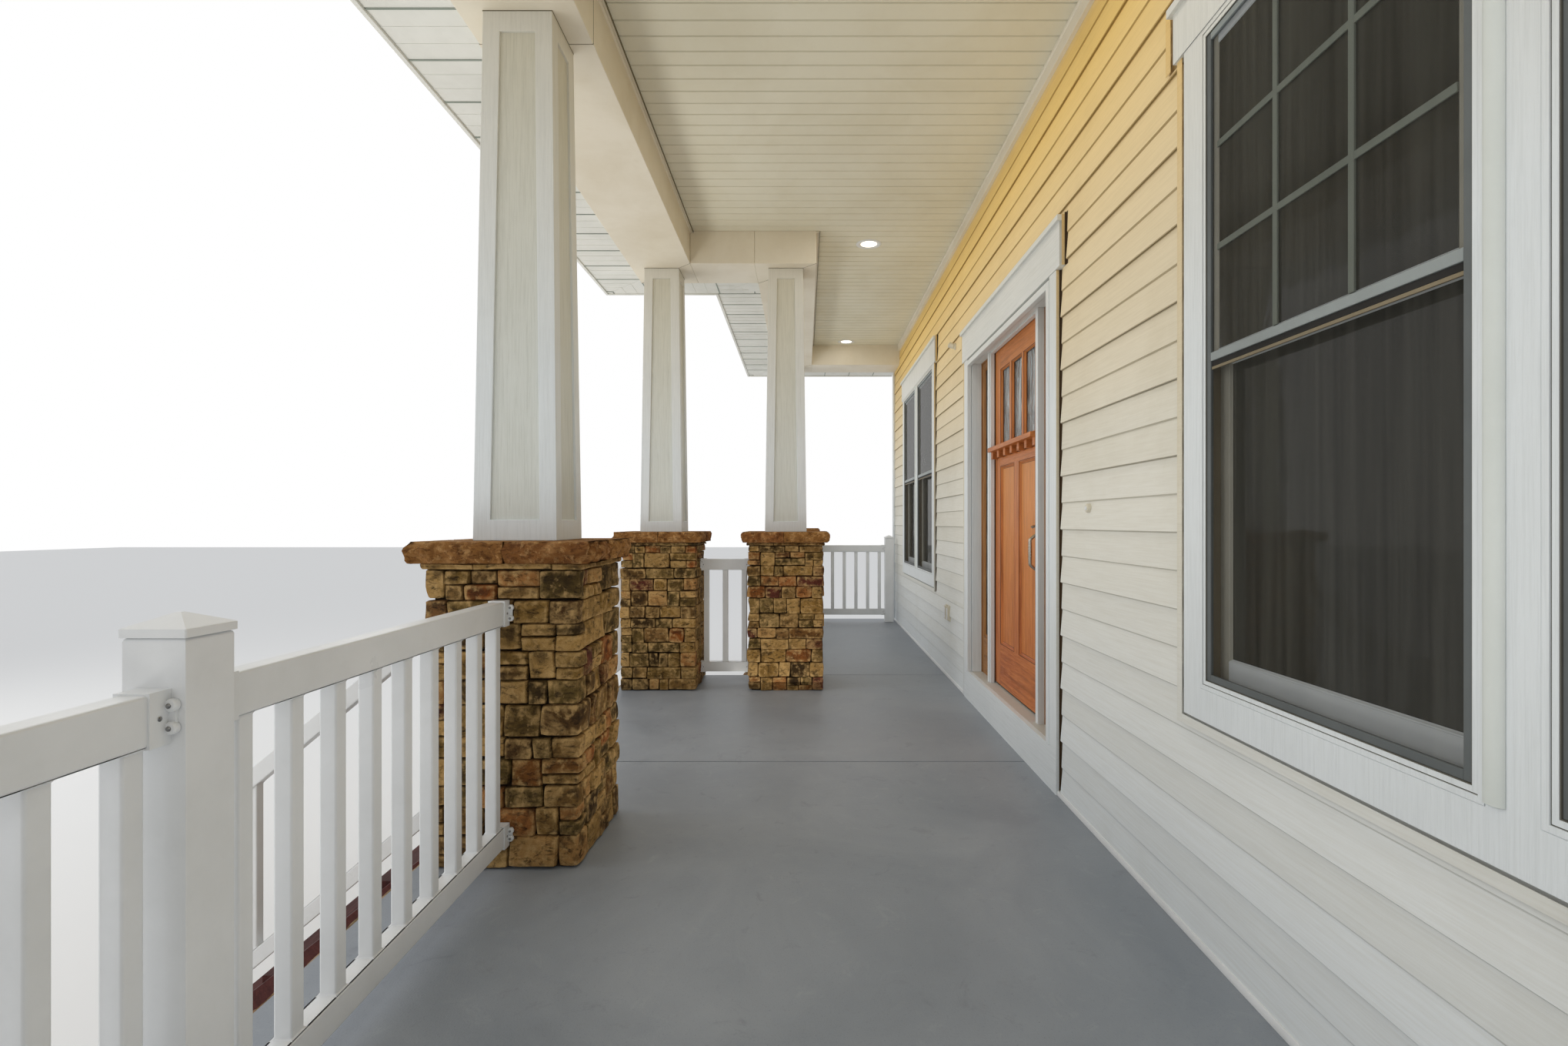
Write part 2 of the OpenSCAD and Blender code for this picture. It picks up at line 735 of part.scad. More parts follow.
// Outside pull under a thumb latch plate, and a lever on a rose inside
handle_x = door_w / 2 - 62;
handle_z = door_z + 940;
latch_plate = [46, 6, 120];
grip_out = 42;
grip_d = 18;
grip_h = 180;
grip_drop = 20;
rose_d = 60;
rose_t = 8;
lever_out = 52;
lever_l = 110;
module door_handle() {
    color([0.75, 0.74, 0.7]) translate([handle_x, 0, handle_z]) {
        translate([-latch_plate[0] / 2, door_back - latch_plate[1], -latch_plate[2] / 2]) cube(latch_plate);
        for (z = [-grip_drop, -grip_drop - grip_h])
            translate([0, door_back, z]) rotate([90, 0, 0]) cylinder(h = grip_out, d = grip_d, $fn = 24);
        translate([0, door_back - grip_out, -grip_drop - grip_h - grip_d / 2])
            cylinder(h = grip_h + grip_d, d = grip_d, $fn = 24);
        translate([0, frame_depth, 0]) rotate([-90, 0, 0]) cylinder(h = rose_t, d = rose_d, $fn = 32);
        translate([0, frame_depth, 0]) rotate([-90, 0, 0]) cylinder(h = lever_out, d = grip_d, $fn = 24);
        translate([grip_d / 2, frame_depth + lever_out - grip_d / 2, 0]) rotate([0, -90, 0])
            cylinder(h = lever_l, d = grip_d, $fn = 24);
    }
}

// Hinges: the middle knuckle and its plate on the leaf, the outer knuckles and the pin on the jamb
pin_d = 7;
knuckle_h = hinge_h / 3;
plate_t = 2.5;
plate_w = 42;
module door_hinges() {
    edge_x = -door_w / 2 - plate_t;
    color([0.7, 0.68, 0.62]) for (z = hinge_places)
        difference() {
            union() {
                translate([hinge_x, hinge_y, z - knuckle_h / 2 + fit])
                    cylinder(h = knuckle_h - 2 * fit, d = knuckle_d, $fn = 32);
                block([edge_x, frame_depth - plate_w, z - knuckle_h / 2 + fit],
                    [-door_w / 2, hinge_y, z + knuckle_h / 2 - fit]);
            }
            translate([hinge_x, hinge_y, z - hinge_h]) cylinder(h = 2 * hinge_h, d = pin_d + 2 * fit, $fn = 32);
        }
}

module jamb_hinges() {
    jamb_x = -door_w / 2 - door_gap;
    color([0.7, 0.68, 0.62]) for (z = hinge_places) {
        for (side = [-1, 1])
            translate([0, 0, z + side * knuckle_h]) {
                translate([hinge_x, hinge_y, -knuckle_h / 2]) cylinder(h = knuckle_h, d = knuckle_d, $fn = 32);
                block([jamb_x, frame_depth - plate_w, -knuckle_h / 2], [jamb_x + plate_t, hinge_y, knuckle_h / 2]);
            }
        translate([hinge_x, hinge_y, z - hinge_h / 2]) cylinder(h = hinge_h, d = pin_d, $fn = 32);
    }
}

// Casing, mullion board, sill board and head board round both units of a window
apron_h = 90;
module window_casings() {
    outer = window_half + casing_w;
    color([0.94, 0.94, 0.93]) for (x = window_places)
        translate([x, 0, 0]) {
            for (side = [-1, 1])
                scale_x(side) block([window_half, -trim_t, unit_z], [outer, 0, unit_top_z + lap]);
            block([-window_mullion / 2, -trim_t, unit_z - lap], [window_mullion / 2, 0, unit_top_z + lap]);
            block([-outer, -trim_t, unit_z - apron_h], [outer, 0, unit_z]);
            head_board(outer, unit_top_z, x > 0 ? near_head_h : head_h);
        }
}

// Middle of each of the four window units
unit_places = [for (x = window_places) for (side = [-1, 1]) x + side * (unit_w + window_mullion) / 2];

// Fixed frames that line the window openings and stand out of the wall, with the mullion between the units
module window_frames() {
    color([0.85, 0.85, 0.84]) for (x = window_places)
        difference() {
            union() {
                block([x - window_half, 0, unit_z], [x + window_half, wall_t, unit_top_z]);
                for (side = [-1, 1])
                    translate([x + side * (unit_w + window_mullion) / 2, 0, 0])
                        block([-unit_w / 2, -window_out, unit_z], [unit_w / 2, lap, unit_top_z]);
            }
            for (side = [-1, 1])
                translate([x + side * (unit_w + window_mullion) / 2, 0, 0])
                    block([-unit_w / 2 + window_frame, -window_out - lap, unit_z + window_frame],
                        [unit_w / 2 - window_frame, wall_t + lap, unit_top_z - window_frame]);
        }
}

// Upper sash in front, lower sash behind it
upper_z = unit_z + unit_h / 2 - meeting_rail / 2;
upper_sash_y = sash_back - window_out;
lower_sash_y = upper_sash_y + sash_t + sash_gap;
module sash(low_z, high_z, bottom_rail, top_rail, y) {
    half = unit_w / 2 - window_frame;
    difference() {
        block([-half, y, low_z], [half, y + sash_t, high_z]);
        block([-half + sash_stile, y - lap, low_z + bottom_rail],
            [half - sash_stile, y + sash_t + lap, high_z - top_rail]);
    }
}
module window_sashes() {
    color([0.8, 0.8, 0.79]) for (x = unit_places)
        translate([x, 0, 0]) {
            sash(upper_z, unit_top_z - window_frame, meeting_rail, sash_stile, upper_sash_y);
            sash(unit_z + window_frame, upper_z + meeting_rail, sash_bottom, meeting_rail, lower_sash_y);
        }
}

module window_glass() {
    half = unit_w / 2 - window_frame - sash_stile;
    front = (sash_t - glass_t) / 2;
    color([0.2, 0.22, 0.24, 0.7]) for (x = unit_places)
        translate([x, 0, 0]) {
            block([-half, upper_sash_y + front, upper_z + meeting_rail],
                [half, upper_sash_y + front + glass_t, unit_top_z - window_frame - sash_stile]);
            block([-half, lower_sash_y + front, unit_z + window_frame + sash_bottom],
                [half, lower_sash_y + front + glass_t, upper_z]);
        }
}

// Level railing along +X from the origin, between two posts or piers
module railing(length) {
    count = baluster_count(length);
    spread = (count - 1) * baluster_pitch;
    translate([0, -rail_w / 2, floor_z + rail_top - rail_h]) cube([length, rail_w, rail_h]);
    translate([0, -rail_w / 2, floor_z + rail_low]) cube([length, rail_w, low_rail_h]);
    for (i = [0:count - 1])
        translate([length / 2 - spread / 2 + i * baluster_pitch - baluster_w / 2, -baluster_w / 2,
            floor_z + rail_low + lap])
            cube([baluster_w, baluster_w, rail_top - rail_h - rail_low]);
}
function baluster_count(length) = floor((length - 2 * baluster_w) / baluster_pitch) + 1;

// Railings between the piers and the posts: along the front of the wide part, along the narrow part,
// across both ends and at the jog
side_post_x = -(stair_pier_x + end_pier_x) / 2;
wall_post_y = -wall_post_gap - post_w / 2;
module railings() {
    front_start = stair_pier_x + pier_w / 2;
    front_end = end_pier_x - pier_w / 2;
    side_start = -end_pier_x + pier_w / 2;
    side_length = side_post_x - post_w / 2 - side_start;
    cross_start = front_row_y + pier_w / 2;
    far_start = side_row_y + pier_w / 2;
    cross_end = wall_post_y - post_w / 2;
    color([0.95, 0.95, 0.95]) {
        translate([front_start, front_row_y, 0]) railing(near_post_x - post_w / 2 - front_start);
        translate([near_post_x + post_w / 2, front_row_y, 0])
            railing(front_end - near_post_x - post_w / 2);
        for (x = [side_start, side_post_x + post_w / 2])
            translate([x, side_row_y, 0]) railing(side_length);
        translate([end_pier_x, cross_start, 0]) rotate([0, 0, 90]) railing(cross_end - cross_start);
        translate([-end_pier_x, far_start, 0]) rotate([0, 0, 90]) railing(cross_end - far_start);
        translate([-stair_pier_x, cross_start, 0]) rotate([0, 0, 90])
            railing(side_row_y - front_row_y - pier_w);
    }
}

// Sloping bar in the YZ plane, given the height of its top where it leaves the pier
module sloping_bar(top_z, height, width) {
    start_y = front_row_y - pier_w / 2;
    end_y = newel_y + post_w / 2;
    fall = stair_slope * (start_y - end_y);
    translate([-width / 2, 0, 0]) rotate([90, 0, 90]) linear_extrude(width)
        polygon([[start_y, top_z], [start_y, top_z - height], [end_y, top_z - height - fall],
            [end_y, top_z - fall]]);
}

// Railings beside the stairs, from the piers down to the newels
stair_top_z = floor_z + stair_rail_top + stair_slope * (front_row_y - pier_w / 2 - stair_head_y);
module stair_rails() {
    start_y = front_row_y - pier_w / 2;
    run = start_y - newel_y - post_w / 2;
    count = baluster_count(run);
    spread = (count - 1) * baluster_pitch;
    color([0.95, 0.95, 0.95]) for (side = [-1, 1])
        translate([side * stair_pier_x, 0, 0]) {
            sloping_bar(stair_top_z, rail_h, rail_w);
            sloping_bar(stair_top_z - stair_rail_gap, low_rail_h, rail_w);
            for (i = [0:count - 1]) {
                y = start_y - run / 2 + spread / 2 - i * baluster_pitch;
                drop = stair_slope * (start_y - y);
                block([-baluster_w / 2, y - baluster_w / 2, stair_top_z - stair_rail_gap - drop - baluster_w / 2],
                    [baluster_w / 2, y + baluster_w / 2, stair_top_z - rail_h - drop + baluster_w / 2]);
            }
        }
}

// Square posts of the railings and the newels at the foot of the stairs
newel_h = stair_rail_top + riser_h;
post_places = [[near_post_x, front_row_y], [side_post_x, side_row_y],
    [end_pier_x, wall_post_y], [-end_pier_x, wall_post_y]];
newel_places = [[stair_pier_x, newel_y], [-stair_pier_x, newel_y]];
module rail_posts() {
    color([0.95, 0.95, 0.95]) {
        for (place = post_places)
            translate([place[0] - post_w / 2, place[1] - post_w / 2, floor_z]) cube([post_w, post_w, post_h]);
        for (place = newel_places)
            translate([place[0] - post_w / 2, place[1] - post_w / 2, 0]) cube([post_w, post_w, newel_h]);
    }
}

// Caps with four sloping sides on all the posts
cap_lip = 4;
module post_caps() {
    color([0.96, 0.96, 0.96]) {
        for (place = post_places)
            translate([place[0], place[1], floor_z + post_h]) post_cap();
        for (place = newel_places)
            translate([place[0], place[1], newel_h]) post_cap();
    }
}
module post_cap() {
    cap_w = post_w + 2 * cap_lip;
    edge_h = 14;
    translate([-cap_w / 2, -cap_w / 2, 0]) cube([cap_w, cap_w, edge_h]);
    translate([0, 0, edge_h]) taper(cap_w, 8, post_cap_h - edge_h);
}

// Boards that carry the steps at both sides
stringer_depth = 330;
stringer_foot = 250;
stringer_lap = 20;
module stringers() {
    front_y = stair_foot_y - nosing;
    color([0.35, 0.18, 0.16]) for (side = [-1, 1])
        translate([side * stair_pier_x - stringer_t / 2, 0, 0]) rotate([90, 0, 90]) linear_extrude(stringer_t)
            polygon([[stair_head_y, floor_z - facing_drop],
                [stair_head_y, floor_z - facing_drop - stringer_depth],
                [front_y + stringer_foot, 0], [front_y, 0], [front_y, riser_h - stringer_lap]]);
}

// One tread for each step, between the stringers
stair_half = stair_pier_x - stringer_t / 2;
module treads() {
    color([0.4, 0.22, 0.2]) for (i = [1:steps])
        block([-stair_half, stair_head_y - i * step_run - nosing, floor_z - i * riser_h - tread_t],
            [stair_half, stair_head_y - (i - 1) * step_run + (i > 1 ? riser_t : 0), floor_z - i * riser_h]);
}

// Board under the front of each tread
module risers() {
    color([0.4, 0.22, 0.2]) for (i = [1:steps])
        block([-stair_half, stair_head_y - i * step_run, i < steps ? floor_z - (i + 1) * riser_h : 0],
            [stair_half, stair_head_y - i * step_run + riser_t, floor_z - i * riser_h - tread_t]);
}

// Doorbell, small camera and two covered outlets on the wall
bell = [1262, 1241];
bell_d = 36;
bell_out = 8;
camera = [-1315, 2480];
camera_d = 50;
camera_out = 45;
outlet_x = [-1545, -1640];
outlet_z = 430;
outlet = [70, 28, 120];
module wall_fittings() {
    color([0.9, 0.88, 0.82]) translate([0, 0, floor_z]) {
        translate([bell[0], 0, bell[1]]) rotate([90, 0, 0]) cylinder(h = bell_out, d = bell_d, $fn = 24);
        translate([camera[0], 0, camera[1]]) rotate([90, 0, 0])
            cylinder(h = camera_out, d = camera_d, $fn = 32);
        for (x = outlet_x)
            translate([x - outlet[0] / 2, -outlet[1], outlet_z]) cube(outlet);
    }
}

foundation();
house_base();
porch_slab();
piers();
pier_caps();
columns();
long_beams();
cross_beams();
ceiling();
ceiling_lights();
soffits();
fascias();
rafters();
roof_covering();
wall_uprights();
wall_heads();
wall_sills();
corner_posts();
door_jambs();
door_stops();
door_head();
door_sill();
skirt_board();
door_casings();
door_head_board();
sidelite_frames();
sidelite_glass();
door_leaf();
door_glass();
door_shelf();
door_handle();
door_hinges();
jamb_hinges();
window_casings();
window_frames();
window_sashes();
window_glass();
railings();
stair_rails();
rail_posts();
post_caps();
stringers();
treads();
risers();
wall_fittings();
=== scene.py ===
"""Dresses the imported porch: stone, siding, ceiling, columns, door, windows, railings, stairs and roof.

Lengths are metres in the frame of the CAD model: X along the house wall, +Y into the house, +Z up, with
the origin at ground level in the outer face of the wall, under the middle of the door.
"""
import math
import random

import bpy
from mathutils import Matrix, Vector, noise


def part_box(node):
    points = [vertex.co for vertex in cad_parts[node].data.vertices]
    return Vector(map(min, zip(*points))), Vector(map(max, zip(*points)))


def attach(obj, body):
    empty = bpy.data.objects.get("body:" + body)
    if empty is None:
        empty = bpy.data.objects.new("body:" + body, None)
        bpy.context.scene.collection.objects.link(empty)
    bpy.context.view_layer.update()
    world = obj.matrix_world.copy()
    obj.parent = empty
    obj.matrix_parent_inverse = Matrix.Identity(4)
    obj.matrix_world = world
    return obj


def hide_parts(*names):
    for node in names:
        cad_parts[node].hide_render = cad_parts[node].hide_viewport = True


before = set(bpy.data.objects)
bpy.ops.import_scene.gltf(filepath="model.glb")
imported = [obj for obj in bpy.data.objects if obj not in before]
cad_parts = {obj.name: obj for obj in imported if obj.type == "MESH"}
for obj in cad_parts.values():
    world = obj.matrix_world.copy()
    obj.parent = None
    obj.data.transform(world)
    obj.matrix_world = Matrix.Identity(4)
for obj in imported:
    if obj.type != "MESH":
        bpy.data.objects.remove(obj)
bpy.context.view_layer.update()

PORCH, DOOR = "porch", "door"
UP = Vector((0, 0, 1))


# ---------------------------------------------------------------- places read from the frame

def solids(node):
    """Boxes of the separate solids of a CAD node, as (low, high) pairs from -X to +X."""
    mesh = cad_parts[node].data
    ids, parent = {}, []

    def find(i):
        while parent[i] != i:
            parent[i] = parent[parent[i]]
            i = parent[i]
        return i

    spots = []
    for v in mesh.vertices:
        key = tuple(round(c, 5) for c in v.co)
        if key not in ids:
            ids[key] = len(parent)
            parent.append(len(parent))
        spots.append(ids[key])
    for face in mesh.polygons:
        first = find(spots[face.vertices[0]])
        for i in face.vertices[1:]:
            parent[find(spots[i])] = first
    groups = {}
    for key, i in ids.items():
        groups.setdefault(find(i), []).append(key)
    return sorted((extent(g) for g in groups.values()), key=lambda b: (b[0].x, b[0].y, b[0].z))


def extent(points):
    """The box round some points, as (low, high)."""
    return Vector([min(c) for c in zip(*points)]), Vector([max(c) for c in zip(*points)])


floor_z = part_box("porch_slab")[1].z
wall_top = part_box("wall_uprights")[1].z
wall_high_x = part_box("wall_uprights")[1].x
ceiling_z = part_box("ceiling")[0].z
beam_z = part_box("long_beams")[0].z
pier_boxes = solids("piers")
cap_boxes = solids("pier_caps")
column_boxes = solids("columns")


# ---------------------------------------------------------------- meshes

class Shape:
    """Faces of one piece, each with a material number and a tone that its material reads."""

    def __init__(self):
        self.points, self.faces, self.mats, self.tones, self.wear_and_light = [], [], [], [], []

    def add(self, points, faces, tone=0.5, mat=0, wear_and_light=None):
        base = len(self.points)
        self.points += [tuple(p) for p in points]
        self.wear_and_light += wear_and_light or [0.0] * len(points)
        self.faces += [[base + i for i in f] for f in faces]
        self.mats += [mat] * len(faces)
        self.tones += [tone] * len(faces)

    def box(self, low, high, tone=0.5, mat=0):
        self.prism([(low[0], low[1]), (high[0], low[1]), (high[0], high[1]), (low[0], high[1])],
                   low[2], high[2], tone, mat)

    def boards(self, y0, y1, *rows):
        """Boxes between two depths, from rows of x0, x1, z0, z1, tone and material."""
        for x0, x1, z0, z1, tone, mat in rows:
            self.box((x0, y0, z0), (x1, y1, z1), tone, mat)

    def prism(self, outline, low, high, tone=0.5, mat=0, axes="xyz"):
        """An outline in the first two axes, counter-clockwise seen from +third, drawn out along the third."""
        n = len(outline)
        order = ["xyz".index(a) for a in axes]
        points = []
        for level in (low, high):
            for a, b in outline:
                p = [0, 0, 0]
                p[order[0]], p[order[1]], p[order[2]] = a, b, level
                points.append(p)
        faces = [list(range(n))[::-1], list(range(n, 2 * n))]
        faces += [[i, (i + 1) % n, (i + 1) % n + n, i + n] for i in range(n)]
        if (order[1] - order[0]) % 3 == 2:
            faces = [f[::-1] for f in faces]
        self.add(points, faces, tone, mat)

    def lathe(self, profile, centre, steps=32, tone=0.5, mat=0, turn=None):
        """A profile of (radius, height) turned about +Z, then set by a rotation and a place."""
        turn = turn or Matrix.Identity(3)
        points, faces = [], []
        for r, h in profile:
            for i in range(steps):
                a = 2 * math.pi * i / steps
                points.append(Vector(centre) + turn @ Vector((r * math.cos(a), r * math.sin(a), h)))
        for j in range(len(profile) - 1):
            for i in range(steps):
                k = (i + 1) % steps
                faces.append([j * steps + i, j * steps + k, (j + 1) * steps + k, (j + 1) * steps + i])
        for j, flip in ((0, True), (len(profile) - 1, False)):
            ring = [j * steps + i for i in range(steps)]
            faces.append(ring[::-1] if flip else ring)
        self.add(points, faces, tone, mat)

    def grid(self, rows, tone=0.5, mat=0, wear_and_light=None):
        """A sheet from rows of points; its front is the side that sees the rows run right and up."""
        n = len(rows[0])
        points = [p for row in rows for p in row]
        faces = [[j * n + i, j * n + i + 1, (j + 1) * n + i + 1, (j + 1) * n + i]
                 for j in range(len(rows) - 1) for i in range(n - 1)]
        self.add(points, faces, tone, mat, wear_and_light)

    def piece(self, name, looks, slot, body=PORCH, replaces=(), bevel=0.0, smooth=35):
        mesh = bpy.data.meshes.new(name)
        mesh.from_pydata(self.points, [], self.faces)
        for look in looks:
            mesh.materials.append(look)
        mesh.polygons.foreach_set("material_index", self.mats)
        tone = mesh.attributes.new("tone", "FLOAT", "FACE")
        tone.data.foreach_set("value", self.tones)
        if any(self.wear_and_light):
            wear_and_light = mesh.attributes.new("wear_and_light", "FLOAT", "POINT")
            wear_and_light.data.foreach_set("value", self.wear_and_light)
        mesh.validate()
        mesh.shade_smooth()
        mesh.set_sharp_from_angle(angle=math.radians(smooth))
        obj = bpy.data.objects.new(name, mesh)
        bpy.context.scene.collection.objects.link(obj)
        if bevel:
            soften(obj, bevel)
        if replaces:
            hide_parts(*replaces)
        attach(obj, body)
        return obj


def soften(obj, width, segments=2):
    mod = obj.modifiers.new("edges", "BEVEL")
    mod.width = width
    mod.segments = segments
    mod.limit_method = "ANGLE"
    mod.angle_limit = math.radians(40)
    mod.harden_normals = True
    mod.use_clamp_overlap = True


def dress(node, look, bevel=0.0):
    """Gives a CAD node its material and, where it has sharp moulded edges, a small bevel."""
    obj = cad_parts[node]
    obj.data.materials.clear()
    obj.data.materials.append(look)
    if bevel:
        weld = obj.modifiers.new("weld", "WELD")
        weld.merge_threshold = 0.00002
        soften(obj, bevel)
    return obj


# ---------------------------------------------------------------- materials

def linear(colour):
    """Screen values from 0 to 255 as a linear colour; sockets, numbers and linear colours stay."""
    if not isinstance(colour, tuple) or len(colour) == 4:
        return colour
    parts = [c / 255 for c in colour]
    return (*(c / 12.92 if c <= 0.04045 else ((c + 0.055) / 1.055) ** 2.4 for c in parts), 1.0)


class Look:
    """A Principled material under construction; its calls add nodes and join them."""

    def __init__(self, name, roughness=0.5, colour=None, **sockets):
        self.mat = bpy.data.materials.new(name)
        self.mat.use_nodes = True
        self.tree = self.mat.node_tree
        self.shader = self.tree.nodes["Principled BSDF"]
        self.base = colour
        self.set("Roughness", roughness)
        if colour:
            self.set("Base Color", colour)
        for key, value in sockets.items():
            self.set(key.replace("_", " "), value)

    def put(self, target, value):
        """Joins a socket to a node's output, or writes a constant on it."""
        if isinstance(value, bpy.types.NodeSocket):
            self.tree.links.new(value, target)
        else:
            target.default_value = value

    def set(self, socket, value):
        self.put(self.shader.inputs[socket], linear(value))

    def node(self, kind, inputs=(), **settings):
        node = self.tree.nodes.new("ShaderNode" + kind)
        for key, value in settings.items():
            setattr(node, key, value)
        for key, value in dict(inputs).items():
            self.put(node.inputs[key], value)
        return node

    def tone(self):
        return self.node("Attribute", attribute_name="tone").outputs["Fac"]

    def coords(self, stretch=(1, 1, 1), vary=True):
        """Object coordinates, stretched, and shifted from board to board by the piece's tone."""
        place = self.node("TexCoord").outputs["Object"]
        if vary:
            shift = self.node("Math", {0: self.tone(), 1: 37.7}, operation="MULTIPLY").outputs[0]
            place = self.node("VectorMath", {0: place, 1: shift}, operation="ADD").outputs[0]
        return self.node("Mapping", {"Vector": place, "Scale": stretch}).outputs[0]

    def height(self):
        return self.node("SeparateXYZ", {0: self.coords(vary=False)}).outputs["Z"]

    def noise(self, vector, scale, detail=4.0, rough=0.55, distortion=0.0):
        """Noise over given coordinates, or over the object's own where vector is None."""
        vector = vector or self.coords(vary=False)
        return self.node("TexNoise", {"Vector": vector, "Scale": scale, "Detail": detail,
                                      "Roughness": rough, "Distortion": distortion}).outputs["Fac"]

    def ramp(self, fac, *stops):
        """A colour band; each stop is (place, colour)."""
        node = self.node("ValToRGB", {"Fac": fac})
        marks = node.color_ramp.elements
        while len(marks) < len(stops):
            marks.new(0.5)
        for mark, (place, colour) in zip(marks, stops):
            mark.position = place
            mark.color = linear(colour)
        return node.outputs["Color"]

    def level(self, fac, low, high, out_low=0.0, out_high=1.0):
        return self.node("MapRange", {"Value": fac, "From Min": low, "From Max": high,
                                      "To Min": out_low, "To Max": out_high}).outputs["Result"]

    def mix(self, fac, a, b, blend="MIX"):
        node = self.node("Mix", data_type="RGBA", blend_type=blend)
        for socket, value in (("Factor", fac), ("A", a), ("B", b)):
            self.put(next(s for s in node.inputs if s.name == socket and s.enabled), linear(value))
        return next(s for s in node.outputs if s.enabled)

    def wash(self, fac, low, high, amount, colour, blend="MIX"):
        """Lays a colour over the base; its strength runs from 0 to amount as fac runs from low to high."""
        self.base = self.mix(self.level(fac, low, high, 0.0, amount), self.base, colour, blend)

    def maths(self, operation, a, b=0.5):
        return self.node("Math", {0: a, 1: b}, operation=operation).outputs[0]

    def bump(self, height, distance, strength=1.0, under=None):
        inputs = {"Height": height, "Distance": distance, "Strength": strength}
        if under:
            inputs["Normal"] = under
        out = self.node("Bump", inputs).outputs["Normal"]
        self.set("Normal", out)
        return out

    def done(self):
        self.set("Base Color", self.base)
        return self.mat


def grey(v):
    return (v, v, v, 1.0)


def stretched(axis, along, across):
    """Scales that draw a pattern out along one axis."""
    return tuple(along if a == axis else across for a in "xyz")


def stone_look(name, tones, dark, pale, scale=1.0):
    """Split face of a stone: colour by stone, clouded, pale on its rims and dark in the joints; the pale rims
    are wear and painted highlight, and the dark lower edge of a cap stone is painted shade.
    """
    m = Look(name, 0.9, Specular_IOR_Level=0.25)
    here = m.coords()
    cloud = m.noise(here, 11 * scale, 5, 0.62, 0.6)
    streak = m.noise(m.coords((1, 1, 2.4)), 26 * scale, 6, 0.68, 0.8)
    blotch = m.noise(here, 30 * scale, 3, 0.6)
    grit = m.noise(here, 300 * scale, 3, 0.7)
    wear_and_light = m.node("Attribute", attribute_name="wear_and_light").outputs["Fac"]
    m.base = m.ramp(m.tone(), *tones)
    m.wash(cloud, 0.5, 0.66, 0.5, pale)
    m.wash(cloud, 0.48, 0.34, 0.7, dark)
    m.wash(streak, 0.5, 0.34, 0.9, dark)
    m.wash(blotch, 0.56, 0.68, 0.55, pale)
    # the wear attribute mixes wear with painted light: high values give pale rims, wear and painted highlight;
    # low ones the dark joints and painted shade under the caps
    rim_wear_and_light = m.maths("MULTIPLY", m.level(wear_and_light, 0.1, 1.0, 0.0, 0.6), m.level(blotch, 0.4, 0.6))
    m.base = m.mix(rim_wear_and_light, m.base, pale)
    m.wash(wear_and_light, -0.2, -0.9, 0.9, (34, 24, 14))
    m.wash(grit, 0.35, 0.7, 0.3, dark, "MULTIPLY")
    m.bump(grit, 0.0018, 0.7, m.bump(streak, 0.007, 0.8))
    return m.done()


def mortar_look():
    m = Look("joint_mortar", 0.95, Specular_IOR_Level=0.2)
    fine = m.noise(None, 180, 4, 0.7)
    m.base = m.ramp(fine, (0.3, (26, 19, 12)), (0.7, (58, 44, 30)))
    m.bump(fine, 0.003)
    return m.done()


def paint_grain(name, colour, shade, axis="z", depth=0.0012, rough=0.45, contrast=0.35):
    """Paint over the raised grain of sawn or pressed board, its streaks along one axis; warmer high up as
    painted warm light under the ceiling.
    """
    stretch = stretched(axis, 1.2, 38.0)
    m = Look(name, rough, Specular_IOR_Level=0.4)
    grain = m.noise(m.coords(stretch), 3.2, 8, 0.68, 0.35)
    fine = m.noise(m.coords(stretch), 9.0, 3, 0.6, 0.1)
    both = m.maths("ADD", grain, m.maths("MULTIPLY", fine, 0.4))
    m.base = m.mix(contrast, colour, m.ramp(both, (0.45, shade), (0.75, colour)))
    m.wash(m.noise(None, 1.7, 5, 0.6), 0.45, 0.8, 0.22, shade)
    # painted light: a warm tint multiplied in from 2.6 m up to 4.1 m, for the warm light under the ceiling
    m.wash(m.height(), 2.6, 4.1, 0.6, (246, 228, 194), "MULTIPLY")
    m.set("Roughness", m.level(grain, 0.3, 0.7, rough + 0.12, rough - 0.05))
    m.bump(both, depth, 0.75)
    return m.done()


def smooth_paint(name, colour, shade, rough=0.35, orange=0.00025, coat=0.0):
    """Moulded plastic or coated metal: an even colour, faint soiling and a little orange peel."""
    m = Look(name, rough, Coat_Weight=coat, Coat_Roughness=0.2)
    soil = m.noise(None, 2.3, 6, 0.62, 0.3)
    m.base = colour
    m.wash(soil, 0.42, 0.75, 0.5, shade)
    m.wash(m.noise(None, 14, 4, 0.6), 0.55, 0.85, 0.18, shade)
    m.set("Roughness", m.level(soil, 0.3, 0.7, rough - 0.04, rough + 0.12))
    m.bump(m.noise(None, 240, 2, 0.5), orange, 0.6)
    return m.done()


def floor_look():
    """Painted concrete: mottled blue-grey, brushed faintly, with pale scuffs and dark specks."""
    m = Look("floor_paint", 0.5, Specular_IOR_Level=0.45)
    cloud = m.noise(None, 1.3, 6, 0.62, 0.5)
    brush = m.noise(m.coords((60, 3, 60), vary=False), 2.4, 5, 0.6)
    pits = m.noise(None, 190, 3, 0.65)
    scuff = m.noise(None, 7.5, 7, 0.72, 1.1)
    m.base = m.ramp(cloud, (0.28, (126, 133, 142)), (0.5, (140, 146, 154)), (0.72, (153, 158, 165)))
    m.wash(scuff, 0.58, 0.8, 0.3, (176, 180, 182))
    m.wash(scuff, 0.42, 0.28, 0.45, (108, 113, 119))
    m.wash(pits, 0.6, 0.78, 0.55, (80, 82, 84))
    m.set("Roughness", m.level(cloud, 0.3, 0.7, 0.42, 0.58))
    m.bump(pits, 0.0009, 0.6, m.bump(brush, 0.0006, 0.5))
    return m.done()


